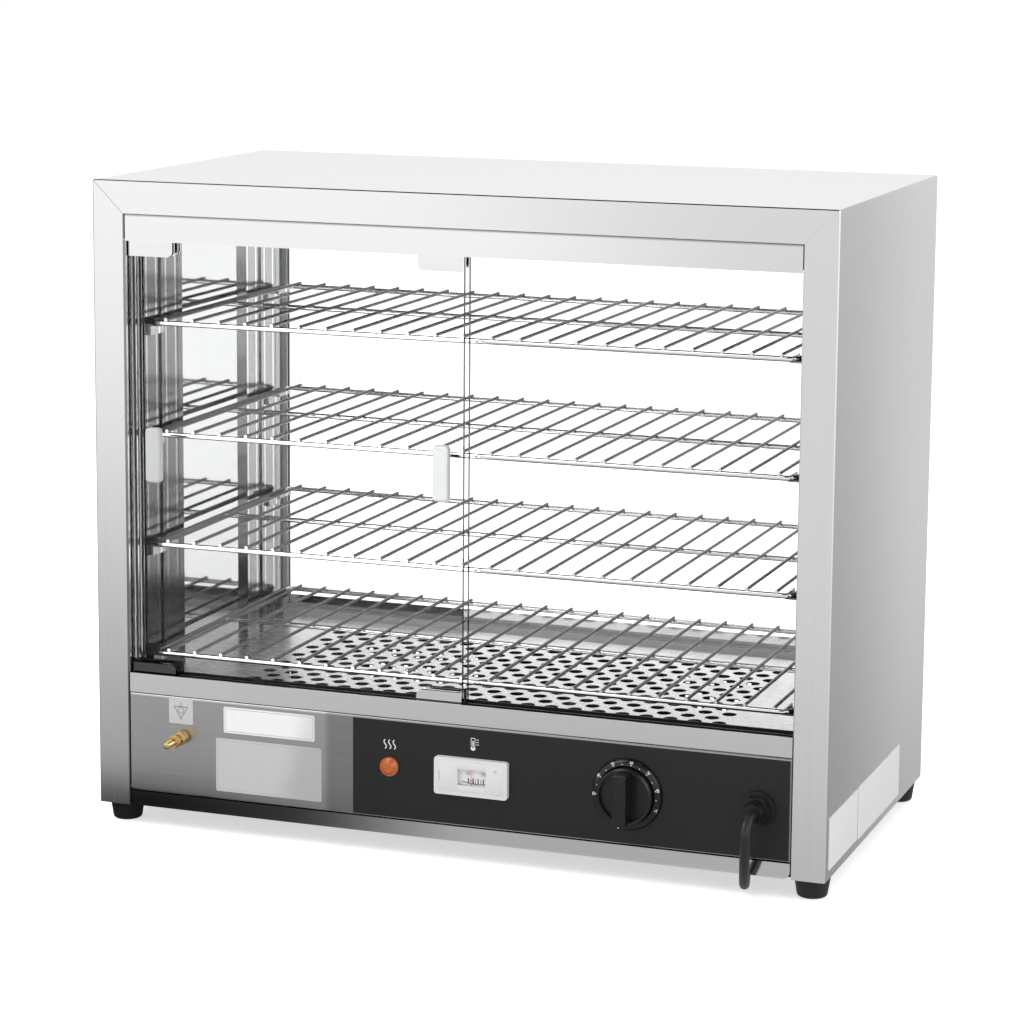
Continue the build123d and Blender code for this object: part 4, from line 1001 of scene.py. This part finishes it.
def floor_mirror_strength(tree):
    # What metals show of the floor: dim close to the cabinet, white far off, and a dark pool
    # before its front left foot.
    where = tree.nodes.new("ShaderNodeTexCoord")
    length = tree.nodes.new("ShaderNodeVectorMath")
    length.operation = "LENGTH"
    tree.links.new(where.outputs["Object"], length.inputs[0])
    fall = math_node(tree, "EXPONENT", math_node(tree, "MULTIPLY", length.outputs["Value"], -0.5))
    distance_part = math_node(tree, "MULTIPLY_ADD", fall, -0.66, 1.0)
    x, y = split_coords(tree, "Object")[:2]
    left = step_up(tree, x, -0.34, 0.0, 1.0, 0.0)
    near = step_up(tree, y, -0.34, -0.24, 0.0, 1.0)
    pool = math_node(tree, "MULTIPLY", math_node(tree, "MULTIPLY", left, near), 0.88)
    return math_node(tree, "MULTIPLY", distance_part, math_node(tree, "SUBTRACT", 1.0, pool))


def add_floor():
    bm = bmesh.new()
    bmesh.ops.create_grid(bm, x_segments=1, y_segments=1, size=12.0)
    floor = new_mesh_object("floor", bm, smooth=False)
    floor.location = (0, 0, -0.0002)
    material, tree, output = new_material("floor_white")
    diffuse = add(tree, "ShaderNodeBsdfDiffuse")
    grain = noise(tree, even(3), 2.0)
    tree.links.new(mix_color(tree, grain, grey(0.80), grey(0.82)),
                   diffuse.inputs["Color"])
    glow = add(tree, "ShaderNodeEmission", Strength=0.62)
    both = tree.nodes.new("ShaderNodeAddShader")
    tree.links.new(diffuse.outputs[0], both.inputs[0])
    tree.links.new(glow.outputs[0], both.inputs[1])
    mirror = add(tree, "ShaderNodeEmission")
    tree.links.new(floor_mirror_strength(tree), mirror.inputs["Strength"])
    seen = light_path(tree, "Is Camera Ray", "Is Transmission Ray")
    mirrored = light_path(tree, "Is Glossy Ray")
    shown = mix_shaders(tree, mirrored, diffuse.outputs[0], mirror.outputs[0])
    tree.links.new(mix_shaders(tree, seen, shown, both.outputs[0]), output.inputs["Surface"])
    floor.data.materials.append(material)


def add_lamp(name, where, aim, size, watts):
    data = bpy.data.lights.new(name, "AREA")
    data.shape = "RECTANGLE"
    data.size = size[0]
    data.size_y = size[1]
    data.energy = watts
    lamp = bpy.data.objects.new(name, data)
    bpy.context.scene.collection.objects.link(lamp)
    direction = Vector(aim) - Vector(where)
    turn = direction.to_track_quat("-Z", "Y").to_matrix().to_4x4()
    lamp.matrix_world = Matrix.Translation(where) @ turn


add_world()
add_floor()
add_lamp("key", (-1.6, -1.6, 2.6), (0, 0, 0.25), (2.2, 2.2), 38)
add_lamp("fill", (2.4, -1.2, 1.8), (0, 0, 0.3), (1.8, 1.8), 16)
add_lamp("top", (0.2, 0.6, 2.8), (0, 0, 0.3), (2.4, 1.6), 22)

scene = bpy.context.scene
scene.view_settings.view_transform = "Standard"
